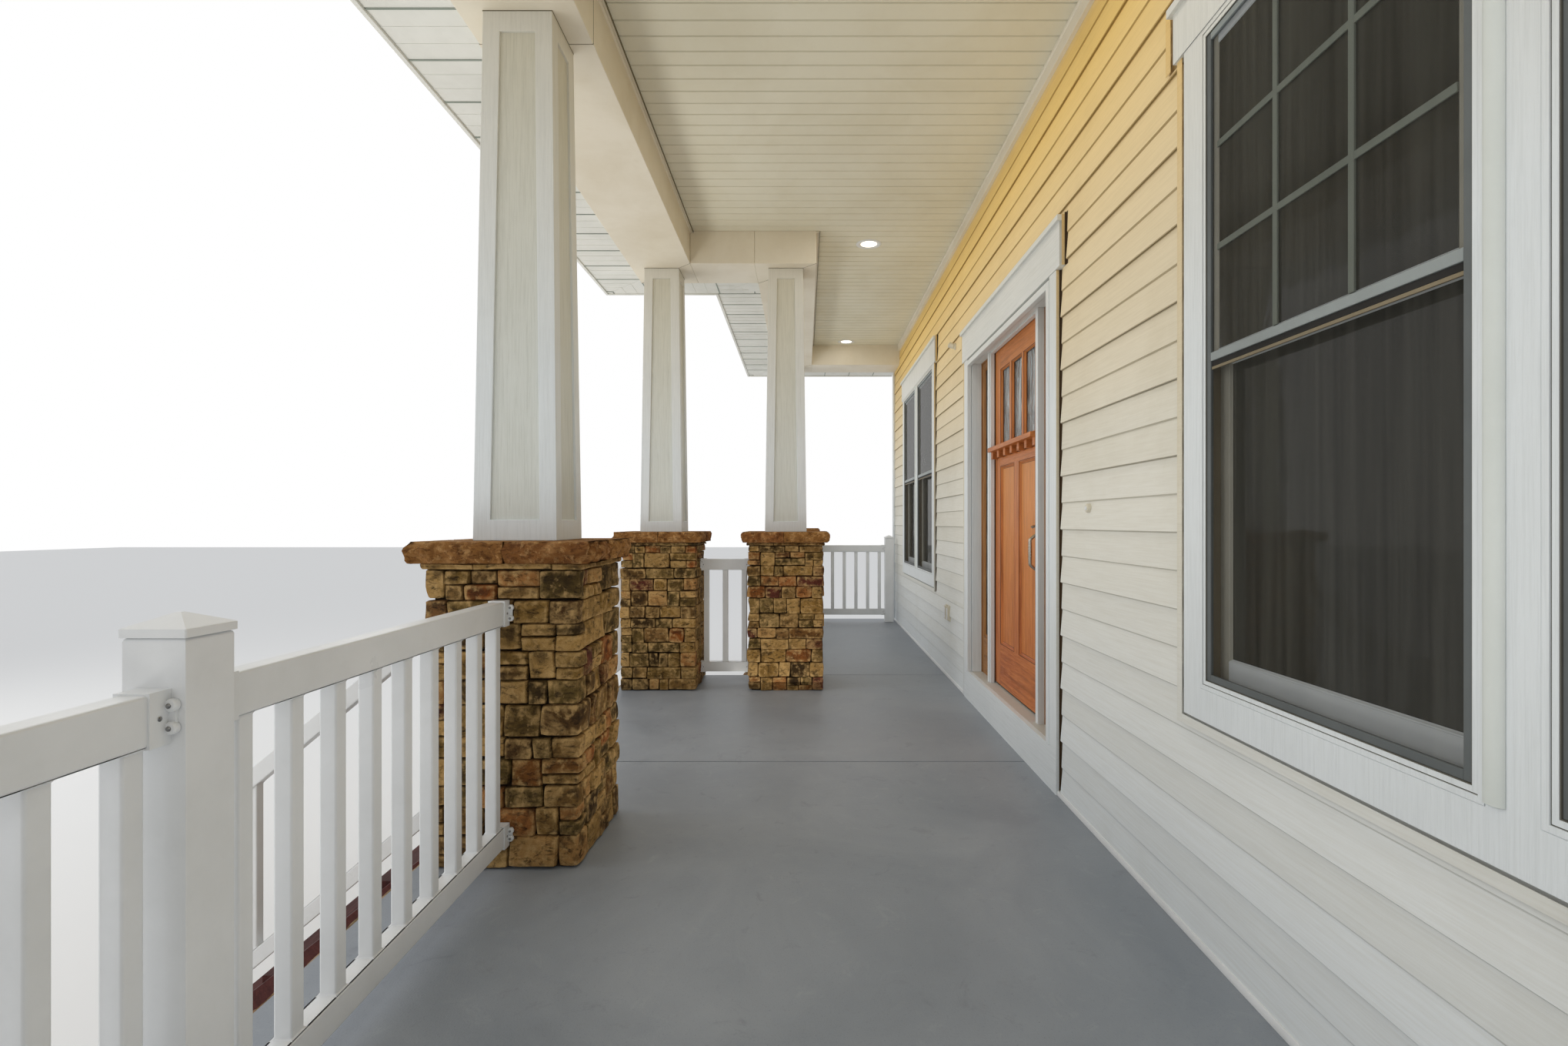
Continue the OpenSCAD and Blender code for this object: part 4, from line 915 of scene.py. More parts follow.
def make_channels():
    """J-channels round the door and window trim, the trim under the ceiling and the strips at the floor. The
    dark recess of each channel and the dark slots beside and above the trim are painted shade.
    """
    shape = Shape()
    back, plate, lip = -0.0005, -0.006, (-0.0215, -0.0195)
    for x0, x1, z0, z1, foot in openings():
        left, over = x0 - CHANNEL_WIDE, z1 + HEAD_GAP
        end = z0 - FOOT_WIDE if foot else z0
        # painted shade: the back of the channel, dark in its recess
        shape.box((left, plate, end), (x0, back, over), 0.5, 1)
        shape.box((left, lip[0], end), (left + CHANNEL_LIP, lip[1], over), 0.5, 0)
        shape.box((x1, -0.0235, end), (x1 + 0.0015, -0.011, z1), 0.6, 0)
        # painted shade: dark slots on the casing's end, beside it and above the head
        shape.box((x1, -0.011, end), (x1 + 0.0012, back, over), 0.5, 2)
        shape.box((x1 + 0.0012, -0.0016, end), (x1 + NEAR_GAP + 0.004, back, over), 0.5, 2)
        shape.box((x0, -0.0016, z1), (x1, back, over + 0.003), 0.5, 2)
        if foot:
            # painted shade in the recess under the sill
            shape.box((x0, plate, end), (x1, back, z0), 0.5, 1)
            shape.box((left + CHANNEL_LIP, lip[0], end), (x1, lip[1], z0 - 0.008), 0.4, 0)
    shape.piece("siding_channels", [CHANNEL, CHANNEL_SHADE, SLOT_SHADE], "siding", bevel=0.0004)
    shape = Shape()
    left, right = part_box("ceiling")[0].x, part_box("ceiling")[1].x
    trim = [(-0.024, -0.072), (-0.001, -0.072), (-0.001, 0), (-0.030, 0), (-0.030, -0.012), (-0.024, -0.016)]
    shape.prism([(y, ceiling_z + z) for y, z in trim], left, right, 0.5, 0, "yzx")
    shape.piece("ceiling_trim", [METAL_WHITE], "white_metal", bevel=0.002)
    shape = Shape()
    skirt_low, skirt_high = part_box("skirt_board")
    strip = [(back, 0), (back, 0.020), (-0.016, 0.020), (-0.020, 0.012), (-0.020, 0)]
    for a, b in ((-POST_IN, skirt_low.x), (skirt_high.x, POST_IN)):
        shape.prism([(y, floor_z + z) for y, z in strip], a, b, 0.5, 0, "yzx")
    shape.piece("starter_strips", [VINYL], "rail_vinyl", bevel=0.001)


# ---------------------------------------------------------------- ceiling and eaves

GROOVE = 0.1016           # from one joint of the ceiling boards to the next
MITRES = 1, 1, 1, 0, -1   # which way the mitre line at each column leans


def make_ceiling():
    """Vinyl boards across the porch with V joints, of which every second one is deeper; a dark strip in each
    joint is painted shade.
    """
    shape = Shape()
    for low, high in solids("ceiling"):
        y0, y1 = low.y + 0.001, high.y - 0.001
        x, k = high.x, 0
        while x > low.x + 0.004:
            a = max(x - GROOVE, low.x)
            deep, half, line = (0.0105, 0.0062, 0.0018) if k % 2 == 0 else (0.0095, 0.0050, 0.0026)
            profile = [(x, high.z), (a, high.z), (a, low.z + deep), (a + half, low.z), (x - half, low.z),
                       (x, low.z + deep)]
            shape.prism(profile, y0, y1, (k * 0.37) % 1, 0, "xzy")
            if a > low.x:
                # painted shade in the joint
                shape.box((a - line, y0, low.z + 0.0055), (a + line, y1, low.z + 0.009), 0.5, 1)
            x, k = a, k + 1
    shape.piece("ceiling_boards", [CEILING, PAINTED_SHADOW_LINE], "soffit_vinyl", replaces=["ceiling"], smooth=20)


def make_lights():
    """Ceiling lights: a turned ring with a stepped throat round a glowing lens."""
    shape = Shape()
    flip = Matrix.Rotation(math.pi, 3, "X")
    lens = [(0.060, -0.003), (0.060, 0.0006), (0.04, 0.0014), (0.002, 0.0018)]
    for low, high in solids("ceiling_lights"):
        centre = ((low.x + high.x) / 2, (low.y + high.y) / 2, ceiling_z)
        r, drop = (high.x - low.x) / 2, ceiling_z - low.z
        ring = [(0.0605, -0.004), (0.0605, 0.0008), (0.064, 0.0012), (0.069, drop * 0.6), (0.077, drop * 0.98),
                (r - 0.010, drop * 0.9), (r - 0.002, drop * 0.45), (r, 0.0), (r, -0.001)]
        shape.lathe(ring, centre, 64, 0.5, 0, flip)
        shape.lathe(lens, centre, 64, 0.5, 1, flip)
    shape.piece("light_rings", [VINYL, LENS], "white_metal", replaces=["ceiling_lights"], smooth=50)


def make_eaves():
    """Soffit panels ribbed across the eave, with a dark joint after every third rib."""
    shape = Shape()
    soffit_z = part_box("soffits")[0].z
    for low, high in solids("soffits"):
        along = 0 if high.x - low.x > high.y - low.y else 1
        n = int((high[along] - low[along]) / GROOVE)
        for i in range(n + 1):
            place = low[along] + (i + 0.5) * (high[along] - low[along]) / (n + 1)
            dark = i % 3 == 0
            half, drop = (0.004, 0.0035) if dark else (0.002, 0.002)
            a, b = [0, 0, soffit_z - drop], [0, 0, soffit_z + 0.001]
            a[along], b[along] = place - half, place + half
            a[1 - along], b[1 - along] = eave_cut(along, place, low, high)
            if b[1 - along] - a[1 - along] > 0.02:
                shape.box(a, b, 0.5, int(dark))
    shape.piece("soffit_ribs", [SOFFIT, GRILLE], "soffit_vinyl")


def eave_cut(along, place, low, high):
    """How far a rib runs across the eave, shortened at the mitred ends of a soffit."""
    other = 1 - along
    a, b = low[other] + 0.003, high[other] - 0.003
    edge = min(place - low[along], high[along] - place)
    if edge < b - a:
        reach = max(edge - 0.004, 0)
        return (a, a + reach) if abs(low[other]) > abs(high[other]) else (b - reach, b)
    return a, b


def make_beams():
    """Overlap seams, mitre lines and a trim where the ceiling meets the coated metal of the beams. The dark
    lines at the seams, the mitres, round the column heads and beside the trim are painted shadow.
    """
    shape = Shape()
    heads = column_heads()
    for low, high in solids("long_beams"):
        for c_low, c_high in heads:
            place = (c_low.x + c_high.x) / 2 - 0.067
            if c_low.y > low.y and c_high.y < high.y and low.x + 0.5 < place < high.x - 0.5:
                # an overlap strip and a dark line of painted shadow at its edge
                for start, end, out, mat in ((-0.03, 0, 0.0012, 0), (0, 0.0026, 0.0007, 1)):
                    shape.box((place + start, low.y - out, low.z - out),
                              (place + end, high.y + out, ceiling_z), 0.4, mat)
    rim = Vector((0.001, 0.001, 0))
    for low, high in heads:
        a, b = low - rim, high + rim
        # a dark ring of painted shadow round each column head
        shape.box((a.x, a.y, beam_z - 0.003), (b.x, b.y, beam_z), 0.4, 1)
    for (low, high), lean in zip(heads, MITRES):
        middle = (low + high) / 2
        for way in (-1, 1) if lean else ():
            a, b = (Vector((middle.x + way * d, middle.y + way * lean * d))
                    for d in ((high.x - low.x) / 2, 0.2195))
            side = Vector((lean, -1)) * 0.0009
            quad = [a - side, b - side, b + side, a + side]
            shape.prism(quad if turn_of(quad) > 0 else quad[::-1], beam_z - 0.0008, beam_z + 0.001, 0.4, 1)
    trim, top = 0.014, ceiling_z - 0.0005
    parts = solids("ceiling")
    for low, high in parts:
        for y0, y1, drop, tone, mat in ((0, 0.011, trim, 0.3, 0), (0.011, 0.022, trim * 0.5, 0.5, 0),
                                        # the last strip is a dark line of painted shadow between trim and
                                        # ceiling
                                        (0.022, 0.025, 0.012, 0.5, 1)):
            shape.box((low.x, low.y + y0, ceiling_z - drop), (high.x, low.y + y1, top), tone, mat)
    left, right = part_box("ceiling")[0].x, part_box("ceiling")[1].x
    for a, b, y0 in ((left, left + 0.011, parts[0][0].y), (right - 0.011, right, parts[1][0].y)):
        shape.box((a, y0, ceiling_z - trim), (b, -0.03, top), 0.3)
    shape.piece("beam_seams", [METAL_WHITE, PAINTED_SHADOW_LINE], "white_metal", bevel=0.0003)


def turn_of(outline):
    """Twice the area of a flat outline, positive where it runs counter-clockwise."""
    return sum(p.x * q.y - q.x * p.y for p, q in zip(outline, outline[1:] + outline[:1]))


# ---------------------------------------------------------------- roof

ROOF_SLOPE = 0.333
SHINGLE_SHOW, SHINGLE_TAB = 0.143, 0.305   # height of a course that shows, and the widest tab


def clip(points, normal, offset):
    """The part of a convex outline where normal . p <= offset."""
    kept = []
    for a, b in zip(points, points[1:] + points[:1]):
        da, db = normal.dot(a) - offset, normal.dot(b) - offset
        if da <= 0:
            kept.append(a)
        if da * db < 0:
            kept.append(a + (b - a) * (da / (da - db)))
    return kept


def shingle_slope(shape, rng, outline, along, up, normal):
    """Tabs laid in courses on one flat slope. The outline is its corners; the eave runs along."""
    origin = outline[0]
    flat = [Vector(((p - origin).dot(along), (p - origin).dot(up))) for p in outline]
    edges = []
    for a, b in zip(flat, flat[1:] + flat[:1]):
        d = (b - a).normalized()
        out = Vector((d.y, -d.x))
        edges.append((out, out.dot(a) - 0.004))
    low_u, high_u = min(p.x for p in flat), max(p.x for p in flat)
    low_v, high_v = min(p.y for p in flat), max(p.y for p in flat)
    course, v = 0, low_v
    while v < high_v:
        u = low_u - SHINGLE_TAB * ((course * 0.43) % 1)
        while u < high_u:
            wide = SHINGLE_TAB * rng.uniform(0.42, 1.0)
            drop = rng.choice((0.0, 0.0, 0.012))
            foot, head = v - drop if v > low_v else v, v + SHINGLE_SHOW + 0.02
            u0, u1 = u + 0.002, u + wide - 0.002
            quad = [Vector(p) for p in ((u0, foot), (u1, foot), (u1, head), (u0, head))]
            for out, offset in edges:
                quad = clip(quad, out, offset) if len(quad) > 2 else []
            if len(quad) > 2:
                lift = 0.0055 + (0.002 if drop else 0.0)
                tone = rng.random()
                top, base = [], []
                for q in quad:
                    part = min(max((q.y - v + drop) / (SHINGLE_SHOW + drop), 0), 1.1)
                    spot = origin + along * q.x + up * q.y
                    top.append(spot + normal * (lift * (1 - part * 0.8) + 0.0008))
                    base.append(spot - normal * 0.002)
                n = len(quad)
                faces = [list(range(n)), list(range(n, 2 * n))[::-1]]
                faces += [[i + n, (i + 1) % n + n, (i + 1) % n, i] for i in range(n)]
                shape.add(top + base, faces, tone)
            u += wide
        v += SHINGLE_SHOW
        course += 1


def make_roof():
    """Shingles on the five slopes of the two hipped roofs, with caps along the hips."""
    shape, rng = Shape(), random.Random(41)
    parts = solids("roof_covering")
    wide, narrow = max(parts, key=lambda b: b[1].x), min(parts, key=lambda b: b[0].x)
    front, jog, right = wide[0].y, wide[0].x, wide[1].x
    far, side_y = narrow[0].x, narrow[0].y
    depth, side_depth = -front, -side_y
    eave_top = wide[1].z - ROOF_SLOPE * depth

    def lift(x, y, d):
        """A plan point at a distance d from the eave, raised to the slope."""
        return Vector((x, y, eave_top + ROOF_SLOPE * d))

    # each slope starts with the two ends of its eave, run so that the house is on the left
    peak, jog_peak = lift(right - depth, 0, depth), lift(jog + depth, 0, depth)
    jog_side, far_side = lift(jog + side_depth, 0, side_depth), lift(far + side_depth, 0, side_depth)
    jog_front, right_front, far_front = lift(jog, front, 0), lift(right, front, 0), lift(far, side_y, 0)
    jog_back = lift(jog, side_y, 0)
    for outline in ([jog_front, right_front, peak, jog_peak], [right_front, lift(right, 0, 0), peak],
                    [jog_back, jog_front, jog_peak, jog_side], [far_front, jog_back, jog_side, far_side],
                    [lift(far, 0, 0), far_front, far_side]):
        along = (outline[1] - outline[0]).normalized()
        up = (UP.cross(along) + UP * ROOF_SLOPE).normalized()
        shingle_slope(shape, rng, outline, along, up, along.cross(up))
    for start, end in ((right_front, peak), (jog_front, jog_peak), (far_front, far_side)):
        way = (end - start).normalized()
        across = way.cross(UP).normalized()
        normal = across.cross(way).normalized()
        side, length = across * 0.12, (end - start).length
        d = 0.14
        while d < length - 0.1:
            a, b = start + way * d, start + way * min(d + 0.24, length)
            points = [a - side - normal * 0.016, a + normal * 0.018, a + side - normal * 0.016,
                      b - side - normal * 0.022, b + normal * 0.012, b + side - normal * 0.022]
            points += [p - normal * 0.012 for p in points[:3]]
            faces = [[3, 4, 1, 0], [4, 5, 2, 1], [0, 1, 7, 6], [1, 2, 8, 7]]
            shape.add(points, faces, rng.random())
            d += 0.15
    shape.piece("roof_shingles", [SHINGLES], "shingles", smooth=20)


# ---------------------------------------------------------------- door

def make_door():
    """The leaf as joined boards with moulded panels, set exactly in the CAD leaf's box."""
    low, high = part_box("door_leaf")
    glass_low, glass_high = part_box("door_glass")
    shelf_low, shelf_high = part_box("door_shelf")
    stile, half_mullion, bottom, lock_rail = 0.118, 0.045, 0.248, 0.129
    left, right, middle = low.x + stile, high.x - stile, (low.x + high.x) / 2
    foot, panel_top = low.z + bottom, glass_low.z - lock_rail
    panes = solids("door_glass")
    shape = Shape()
    boards = [(low.x, left, low.z, high.z, 0.12, 0), (right, high.x, low.z, high.z, 0.77, 0),
              (left, right, low.z, foot, 0.31, 1), (left, right, panel_top, glass_low.z, 0.52, 1),
              (left, right, glass_high.z, high.z, 0.68, 1),
              (middle - half_mullion, middle + half_mullion, foot, panel_top, 0.9, 0)]
    boards += [(a[1].x, b[0].x, glass_low.z, glass_high.z, 0.2, 0) for a, b in zip(panes, panes[1:])]
    shape.boards(low.y, high.y, *boards)
    for x0, x1, tone in ((left, middle - half_mullion, 0.45), (middle + half_mullion, right, 0.6)):
        panel(shape, x0, x1, foot, panel_top, low.y, high.y, tone)
    for a, b in panes:
        glazing(shape, a, b, low.y, high.y)
        outline(shape, a.x, b.x, a.z, b.z, low.y, 1)
    # the shade between the blocks under the shelf
    shape.box((shelf_low.x + 0.004, low.y - 0.0006, shelf_low.z + 0.002),
              (shelf_high.x - 0.004, low.y + 0.002, shelf_high.z - 0.026), 0.3, 3)
    looks = [DOOR_Z, DOOR_X, DOOR_PANEL, DOOR_SHADOW_LINE]
    shape.piece("door_boards", looks, "door_wood", DOOR, ["door_leaf"], bevel=0.0006)


def panel(shape, x0, x1, z0, z1, front, back, tone):
    """A flat sunk panel with a stepped moulding round it on both faces."""
    sunk, wide, lap = 0.0115, 0.016, 0.002
    shape.box((x0 - lap, front + sunk, z0 - lap), (x1 + lap, back - sunk, z1 + lap), tone, 2)
    for face, way in ((front, 1), (back, -1)):
        bead(shape, x0, x1, z0, z1, face, wide, sunk * way)
        outline(shape, x0, x1, z0, z1, face, way)
        outline(shape, x0 + wide, x1 - wide, z0 + wide, z1 - wide, face + sunk * way, way)


def glazing(shape, low, high, front, back):
    """The beads that hold a pane, on both faces of a leaf."""
    for face, deep in ((front, 0.012), (back, -0.012)):
        bead(shape, low.x, high.x, low.z, high.z, face, 0.011, deep)


def outline(shape, x0, x1, z0, z1, face, way):
    """A dark line of painted shadow round a panel or a pane, where moulding and board meet."""
    y0, y1 = sorted((face - 0.0004 * way, face + 0.002 * way))
    square_ring(shape, x0, x1, z0, z1, 0.0022, y0, y1, 0.5, (3, 3, 3))


def bead(shape, x0, x1, z0, z1, face, wide, deep, mats=(1, 0, 1, 0)):
    """A mitred moulding that falls from a face into the opening, round all four sides."""
    steps = [(0.0, 0.0), (0.0, 0.12), (0.45, 0.32), (0.55, 0.62), (1.0, 0.98)]
    rings = []
    for across, down in steps:
        w, y = wide * across, face + deep * down
        rings.append([(x0 + w, y, z0 + w), (x1 - w, y, z0 + w), (x1 - w, y, z1 - w), (x0 + w, y, z1 - w)])
    for k, mat in enumerate(mats):
        points = [ring[k] for ring in rings] + [ring[(k + 1) % 4] for ring in rings]
        n = len(steps)
        faces = [[i, i + n, i + n + 1, i + 1] for i in range(n - 1)]
        if deep < 0:
            faces = [f[::-1] for f in faces]
        shape.add(points, faces, 0.35 + 0.1 * k, mat)


def surround(shape, low, high, a, b, y0, tones, upright, level):
    """Four boards that fill a frame's box round its pane's box; the uprights run full height."""
    left, right, foot, head = tones
    shape.boards(y0, high.y, (low.x, a.x, low.z, high.z, left, upright),
                 (b.x, high.x, low.z, high.z, right, upright),
                 (a.x, b.x, low.z, a.z, foot, level), (a.x, b.x, b.z, high.z, head, level))


def make_sidelites():
    """Narrow glazed panels: stained frames with a bead round the glass and stops along the outer edge."""
    shape = Shape()
    for (low, high), (a, b) in zip(solids("sidelite_frames"), solids("sidelite_glass")):
        surround(shape, low, high, a, b, low.y, (0.15, 0.65, 0.4, 0.85), 0, 1)
        glazing(shape, a, b, low.y, high.y)
        stop, out = 0.008, low.y - 0.006
        shape.boards(out, low.y, (low.x, low.x + stop, low.z, high.z, 0.3, 0),
                     (high.x - stop, high.x, low.z, high.z, 0.3, 0),
                     (low.x + stop, high.x - stop, high.z - stop, high.z, 0.5, 1))
    looks = [SIDE_Z, SIDE_X]
    shape.piece("sidelite_boards", looks, "door_wood", replaces=["sidelite_frames"], bevel=0.0015)


def tube(shape, points, radius, steps=16, tone=0.5, mat=0, flat=1.0):
    """A round bar along a list of points, with closed ends; flat squashes it sideways."""
    rows = []
    count = len(points)
    for i, p in enumerate(points):
        ahead = points[min(i + 1, count - 1)] - points[max(i - 1, 0)]
        way = ahead.normalized()
        side = way.cross(Vector((1, 0, 0)))
        if side.length < 0.1:
            side = way.cross(UP)
        side.normalize()
        other = way.cross(side).normalized()
        r = radius(i / (count - 1)) if callable(radius) else radius
        rows.append([p + side * math.cos(2 * math.pi * k / steps) * r
                     + other * math.sin(2 * math.pi * k / steps) * r * flat for k in range(steps)])
    base = [q for row in rows for q in row]
    faces = [[j + i, j + steps + i, j + steps + (i + 1) % steps, j + (i + 1) % steps]
             for j in range(0, steps * (count - 1), steps) for i in range(steps)]
    faces += [list(range(steps)), list(range((count - 1) * steps, count * steps))[::-1]]
    shape.add(base, faces, tone, mat)


def make_handle():
    """Grip, thumb latch and plate outside; rose and lever inside. All of it in the CAD handle's box."""
    low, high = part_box("door_handle")
    front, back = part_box("door_leaf")[0].y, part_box("door_leaf")[1].y
    x, z = high.x - 0.030, low.z + 0.209
    shape = Shape()
    plate = [(-0.023, -0.052), (-0.023, 0.052), (-0.020, 0.058), (0.020, 0.058), (0.023, 0.052),
             (0.023, -0.052), (0.020, -0.058), (-0.020, -0.058)]
    shape.prism([(x + a, z + b) for a, b in plate], front - 0.0055, front, 0.5, 0, "xzy")
    stand_off = front - low.y - 0.008
    grip = []
    for i in range(25):
        t = i / 24
        reach = min(1.0, math.sin(math.pi * t) * 2.1) if t not in (0, 1) else 0.0
        grip.append(Vector((x, front - stand_off * reach ** 0.8, z - 0.016 - 0.188 * t)))
    tube(shape, grip, lambda t: 0.0072 + 0.0022 * math.sin(math.pi * t), 16)
    foot = [(0.014, 0), (0.014, 0.003), (0.010, 0.007), (0.006, 0.009)]
    for dz in (-0.016, -0.204):
        shape.lathe(foot, (x, front, z + dz), 24, turn=Matrix.Rotation(math.pi / 2, 3, "X"))
    thumb = [Vector((x, front - 0.004 - 0.030 * t, z + 0.016 + 0.006 * math.sin(math.pi * t)))
             for t in (i / 8 for i in range(9))]
    tube(shape, thumb, lambda t: 0.004 + 0.004 * t, 12, flat=1.6)
    rose = [(0.030, 0), (0.030, 0.004), (0.027, 0.0075), (0.012, 0.009), (0.0095, 0.03), (0.009, 0.046)]
    shape.lathe(rose, (x, back, z), 40, turn=Matrix.Rotation(-math.pi / 2, 3, "X"))
    lever = [Vector((x + 0.006 - 0.104 * t, back + 0.043 + 0.004 * math.sin(math.pi * t * 0.5), z))
             for t in (i / 12 for i in range(13))]
    tube(shape, lever, lambda t: 0.0085 - 0.002 * t, 16)
    shape.piece("handle_set", [NICKEL], "hardware", DOOR, ["door_handle"], smooth=45)


def make_door_trim():
    """The stepped strip inside the door's casing, and the weatherstrips."""
    shape = Shape()
    low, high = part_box("door_head")
    sill_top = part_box("door_sill")[1].z
    y0, y1, top = -0.031, -0.002, low.z + 0.022
    shape.boards(y0, y1, (low.x - 0.004, low.x + 0.034, sill_top, top, 0.3, 0),
                 (high.x - 0.034, high.x + 0.004, sill_top, top, 0.3, 0),
                 (low.x + 0.0345, high.x - 0.0345, low.z - 0.012, top, 0.6, 1))
    shape.piece("door_brickmould", [GRAIN_Z, GRAIN_X], "white_wood", bevel=0.004)
    shape = Shape()
    for low, high in solids("door_stops"):
        if high.z - low.z > 1:
            a, b = (high.x - 0.005, high.x) if low.x < 0 else (low.x, low.x + 0.005)
            shape.box((a, high.y, low.z + 0.004), (b, high.y + 0.0055, high.z - 0.004), 0.5)
    low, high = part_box("door_leaf")
    shape.boards(low.y + 0.006, high.y - 0.006,
                 (low.x + 0.01, high.x - 0.01, low.z - 0.009, low.z - 0.0005, 0.5, 0))
    shape.piece("door_seals", [SEAL_AND_SHADE], "hardware")


# ---------------------------------------------------------------- windows

def make_windows():
    """Sashes, screens, bars, stepped mouldings and the mullion strips of both double windows; the darker sash
    and screen uprights, the black band under each meeting rail and the dark lines between moulding steps are
    painted shade.
    """
    panes = solids("window_glass")
    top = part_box("window_sashes")[1].z
    shape = Shape()
    for low, high in solids("window_sashes"):
        lower = high.z < top - 0.3
        a, b = next(p for p in panes if low.x < p[0].x < high.x and low.z < p[0].z < high.z
                    and (p[1].z < high.z or not lower) and abs(p[0].y - (low.y + high.y) / 2) < 0.01)
        y0 = low.y + (0.001 if lower else 0.009)
        # the uprights take the darker sash material as painted shade
        surround(shape, low, high, a, b, y0, (0.2, 0.7, 0.4, 0.5), 1, 0)
        bead(shape, a.x, b.x, a.z, b.z, y0, 0.007, 0.008, (0, 1, 0, 1))
    shape.piece("sash_boards", [SASH, SASH_UPRIGHT_SHADE], "window_vinyl", replaces=["window_sashes"], bevel=0.0015)
    bars, veil, trim, strip = Shape(), Shape(), Shape(), Shape()
    half_mullion, inset, rim, half_bar = 0.046, 0.0265, 0.018, 0.0085
    # the steps of material 1 are dark lines of painted shadow between the moulding steps
    steps = ((0.0005, 0.0115, 0.0035, 0), (0.014, 0.0105, 0.0015, 0),
             (-0.001, 0.0015, 0.0005, 1), (0.012, 0.002, 0.0005, 1), (0.0245, 0.002, 0.0005, 1))
    # material 3 under each meeting rail is a black band of painted shade
    meeting = ((0, -0.011, 0.012, 0), (0.004, -0.026, -0.011, 3), (0.003, -0.034, -0.026, 4))
    for low, high in solids("window_frames"):
        middle, z0, z1 = (low.x + high.x) / 2, low.z, high.z
        front, back, meet = low.y + 0.002, low.y + 0.0105, (z0 + z1) / 2
        for x0, x1 in ((low.x, middle - half_mullion), (middle + half_mullion, high.x)):
            for d, wide, out, mat in steps:
                square_ring(trim, x0 + d, x1 - d, z0 + d, z1 - d, wide, low.y - out, low.y + 0.004,
                            mats=(mat, mat, mat))
            d = inset
            # the screen frame's uprights and foot carry painted shade
            square_ring(bars, x0 + d, x1 - d, z0 + d, z1 - d, rim, front, back, mats=(2, 2, 0))
            d = inset + rim
            for out, foot, head, mat in meeting:
                bars.box((x0 + d, front + out, meet + foot), (x1 - d, back, meet + head), 0.3, mat)
            y = (front + back) / 2
            veil.add([(x0 + d, y, z0 + d), (x1 - d, y, z0 + d), (x1 - d, y, z1 - d), (x0 + d, y, z1 - d)],
                     [[0, 1, 2, 3]], 0.5)
            if low.x > 0:
                a, b = next(p for p in panes if x0 < p[0].x < x1 and p[1].z > meet + 0.3)
                for part in (1 / 3, 2 / 3):
                    spot = a.lerp(b, part)
                    bars.boards(b.y - 0.012, b.y - 0.0065,
                                (spot.x - half_bar, spot.x + half_bar, a.z, b.z, 0.5, 1))
                    bars.boards(b.y - 0.0115, b.y - 0.007,
                                (a.x, b.x, spot.z - half_bar, spot.z + half_bar, 0.5, 1))
        arc = [(middle - 0.028 + 0.019 * math.cos(a), -0.025 - 0.011 * math.sin(a))
               for a in (math.pi * i / 12 for i in range(12, -1, -1))]
        strip.prism(arc, z0 + 0.008, z1 - 0.008, 0.5)
    bars.piece("window_bars", [SCREEN_RAIL, GRILLE, SCREEN_FRAME_SHADE, SEAL_AND_SHADE, LINER], "window_vinyl", bevel=0.0012)
    veil.piece("window_screens", [SCREEN], "window_glass")
    trim.piece("window_mouldings", [GRAIN_Z, MOULDING_SHADOW_LINE], "white_wood", bevel=0.0004)
    strip.piece("mullion_strips", [STRIP], "white_wood", bevel=0.0015)


def square_ring(shape, x0, x1, z0, z1, wide, y0, y1, tone=0.4, mats=(0, 0, 0)):
    """Four bars round a rectangle of the wall, the uprights full height; mats: uprights, foot, head."""
    side, foot, head = mats
    a, b = x0 + wide, x1 - wide
    shape.boards(y0, y1, (x0, a, z0, z1, tone, side), (b, x1, z0, z1, tone + 0.3, side),
                 (a, b, z0, z0 + wide, tone + 0.1, foot), (a, b, z1 - wide, z1, tone + 0.2, head))


# ---------------------------------------------------------------- railings, stairs, fittings

def make_rails():
    """Brackets round the ends of the level rails, with the screws that hold them."""
    shape = Shape()
    top, deep, low_z, low_deep = 0.917, 0.080, 0.088, 0.070
    levels = ((floor_z + top - deep, floor_z + top), (floor_z + low_z, floor_z + low_z + low_deep))
    for low, high in solids("railings"):
        along = 0 if high.x - low.x > high.y - low.y else 1
        mid = (low[1 - along] + high[1 - along]) / 2
        for end, way in ((low[along], 1), (high[along], -1)):
            for z0, z1 in levels:
                sleeve(shape, along, end, way, mid, z0, z1, 0.050)
    shape.piece("rail_sleeves", [VINYL, STEEL], "rail_vinyl", bevel=0.002)


def sleeve(shape, along, end, way, mid, z0, z1, wide):
    """A moulded bracket round the end of a rail: collar, flange with two lugs and small screws."""
    other = 1 - along
    grow, reach, flange = 0.0035, 0.040, 0.005
    half = wide / 2 + grow

    def spot(out, side, z):
        place = [0, 0, z]
        place[along], place[other] = end + way * out, mid + side
        return place

    for out, side, grip in ((reach, half, grow), (flange, half + 0.011, -0.012)):
        shape.box(*extent((spot(0.0, -side, z0 - grip), spot(out, side, z1 + grip))))
    turn = Matrix.Rotation(math.pi / 2 * way * (1, -1)[along], 3, "YX"[along])
    lug = [(0.0105, -0.004), (0.0105, 0.004), (0.0085, 0.0066), (0.0055, 0.0072)]
    tip = [(0.0042, 0), (0.0042, 0.0012), (0.0028, 0.0026), (0.0006, 0.003)]
    screw = [(0.004, 0), (0.004, 0.001), (0.0026, 0.0022), (0.0006, 0.0026)]
    for side in (-1, 1):
        for z in (z0 + 0.022, z1 - 0.022):
            shape.lathe(lug, spot(flange, side * (half + 0.0055), z), 20, 0.5, 0, turn)
            shape.lathe(tip, spot(flange + 0.0072, side * (half + 0.0055), z), 12, 0.5, 1, turn)
        tilt = Matrix.Rotation(math.pi / 2 * side * (-1, 1)[along], 3, "XY"[along])
        shape.lathe(screw, spot(reach * 0.55, side * half, (z0 + z1) / 2), 12, 0.5, 1, tilt)


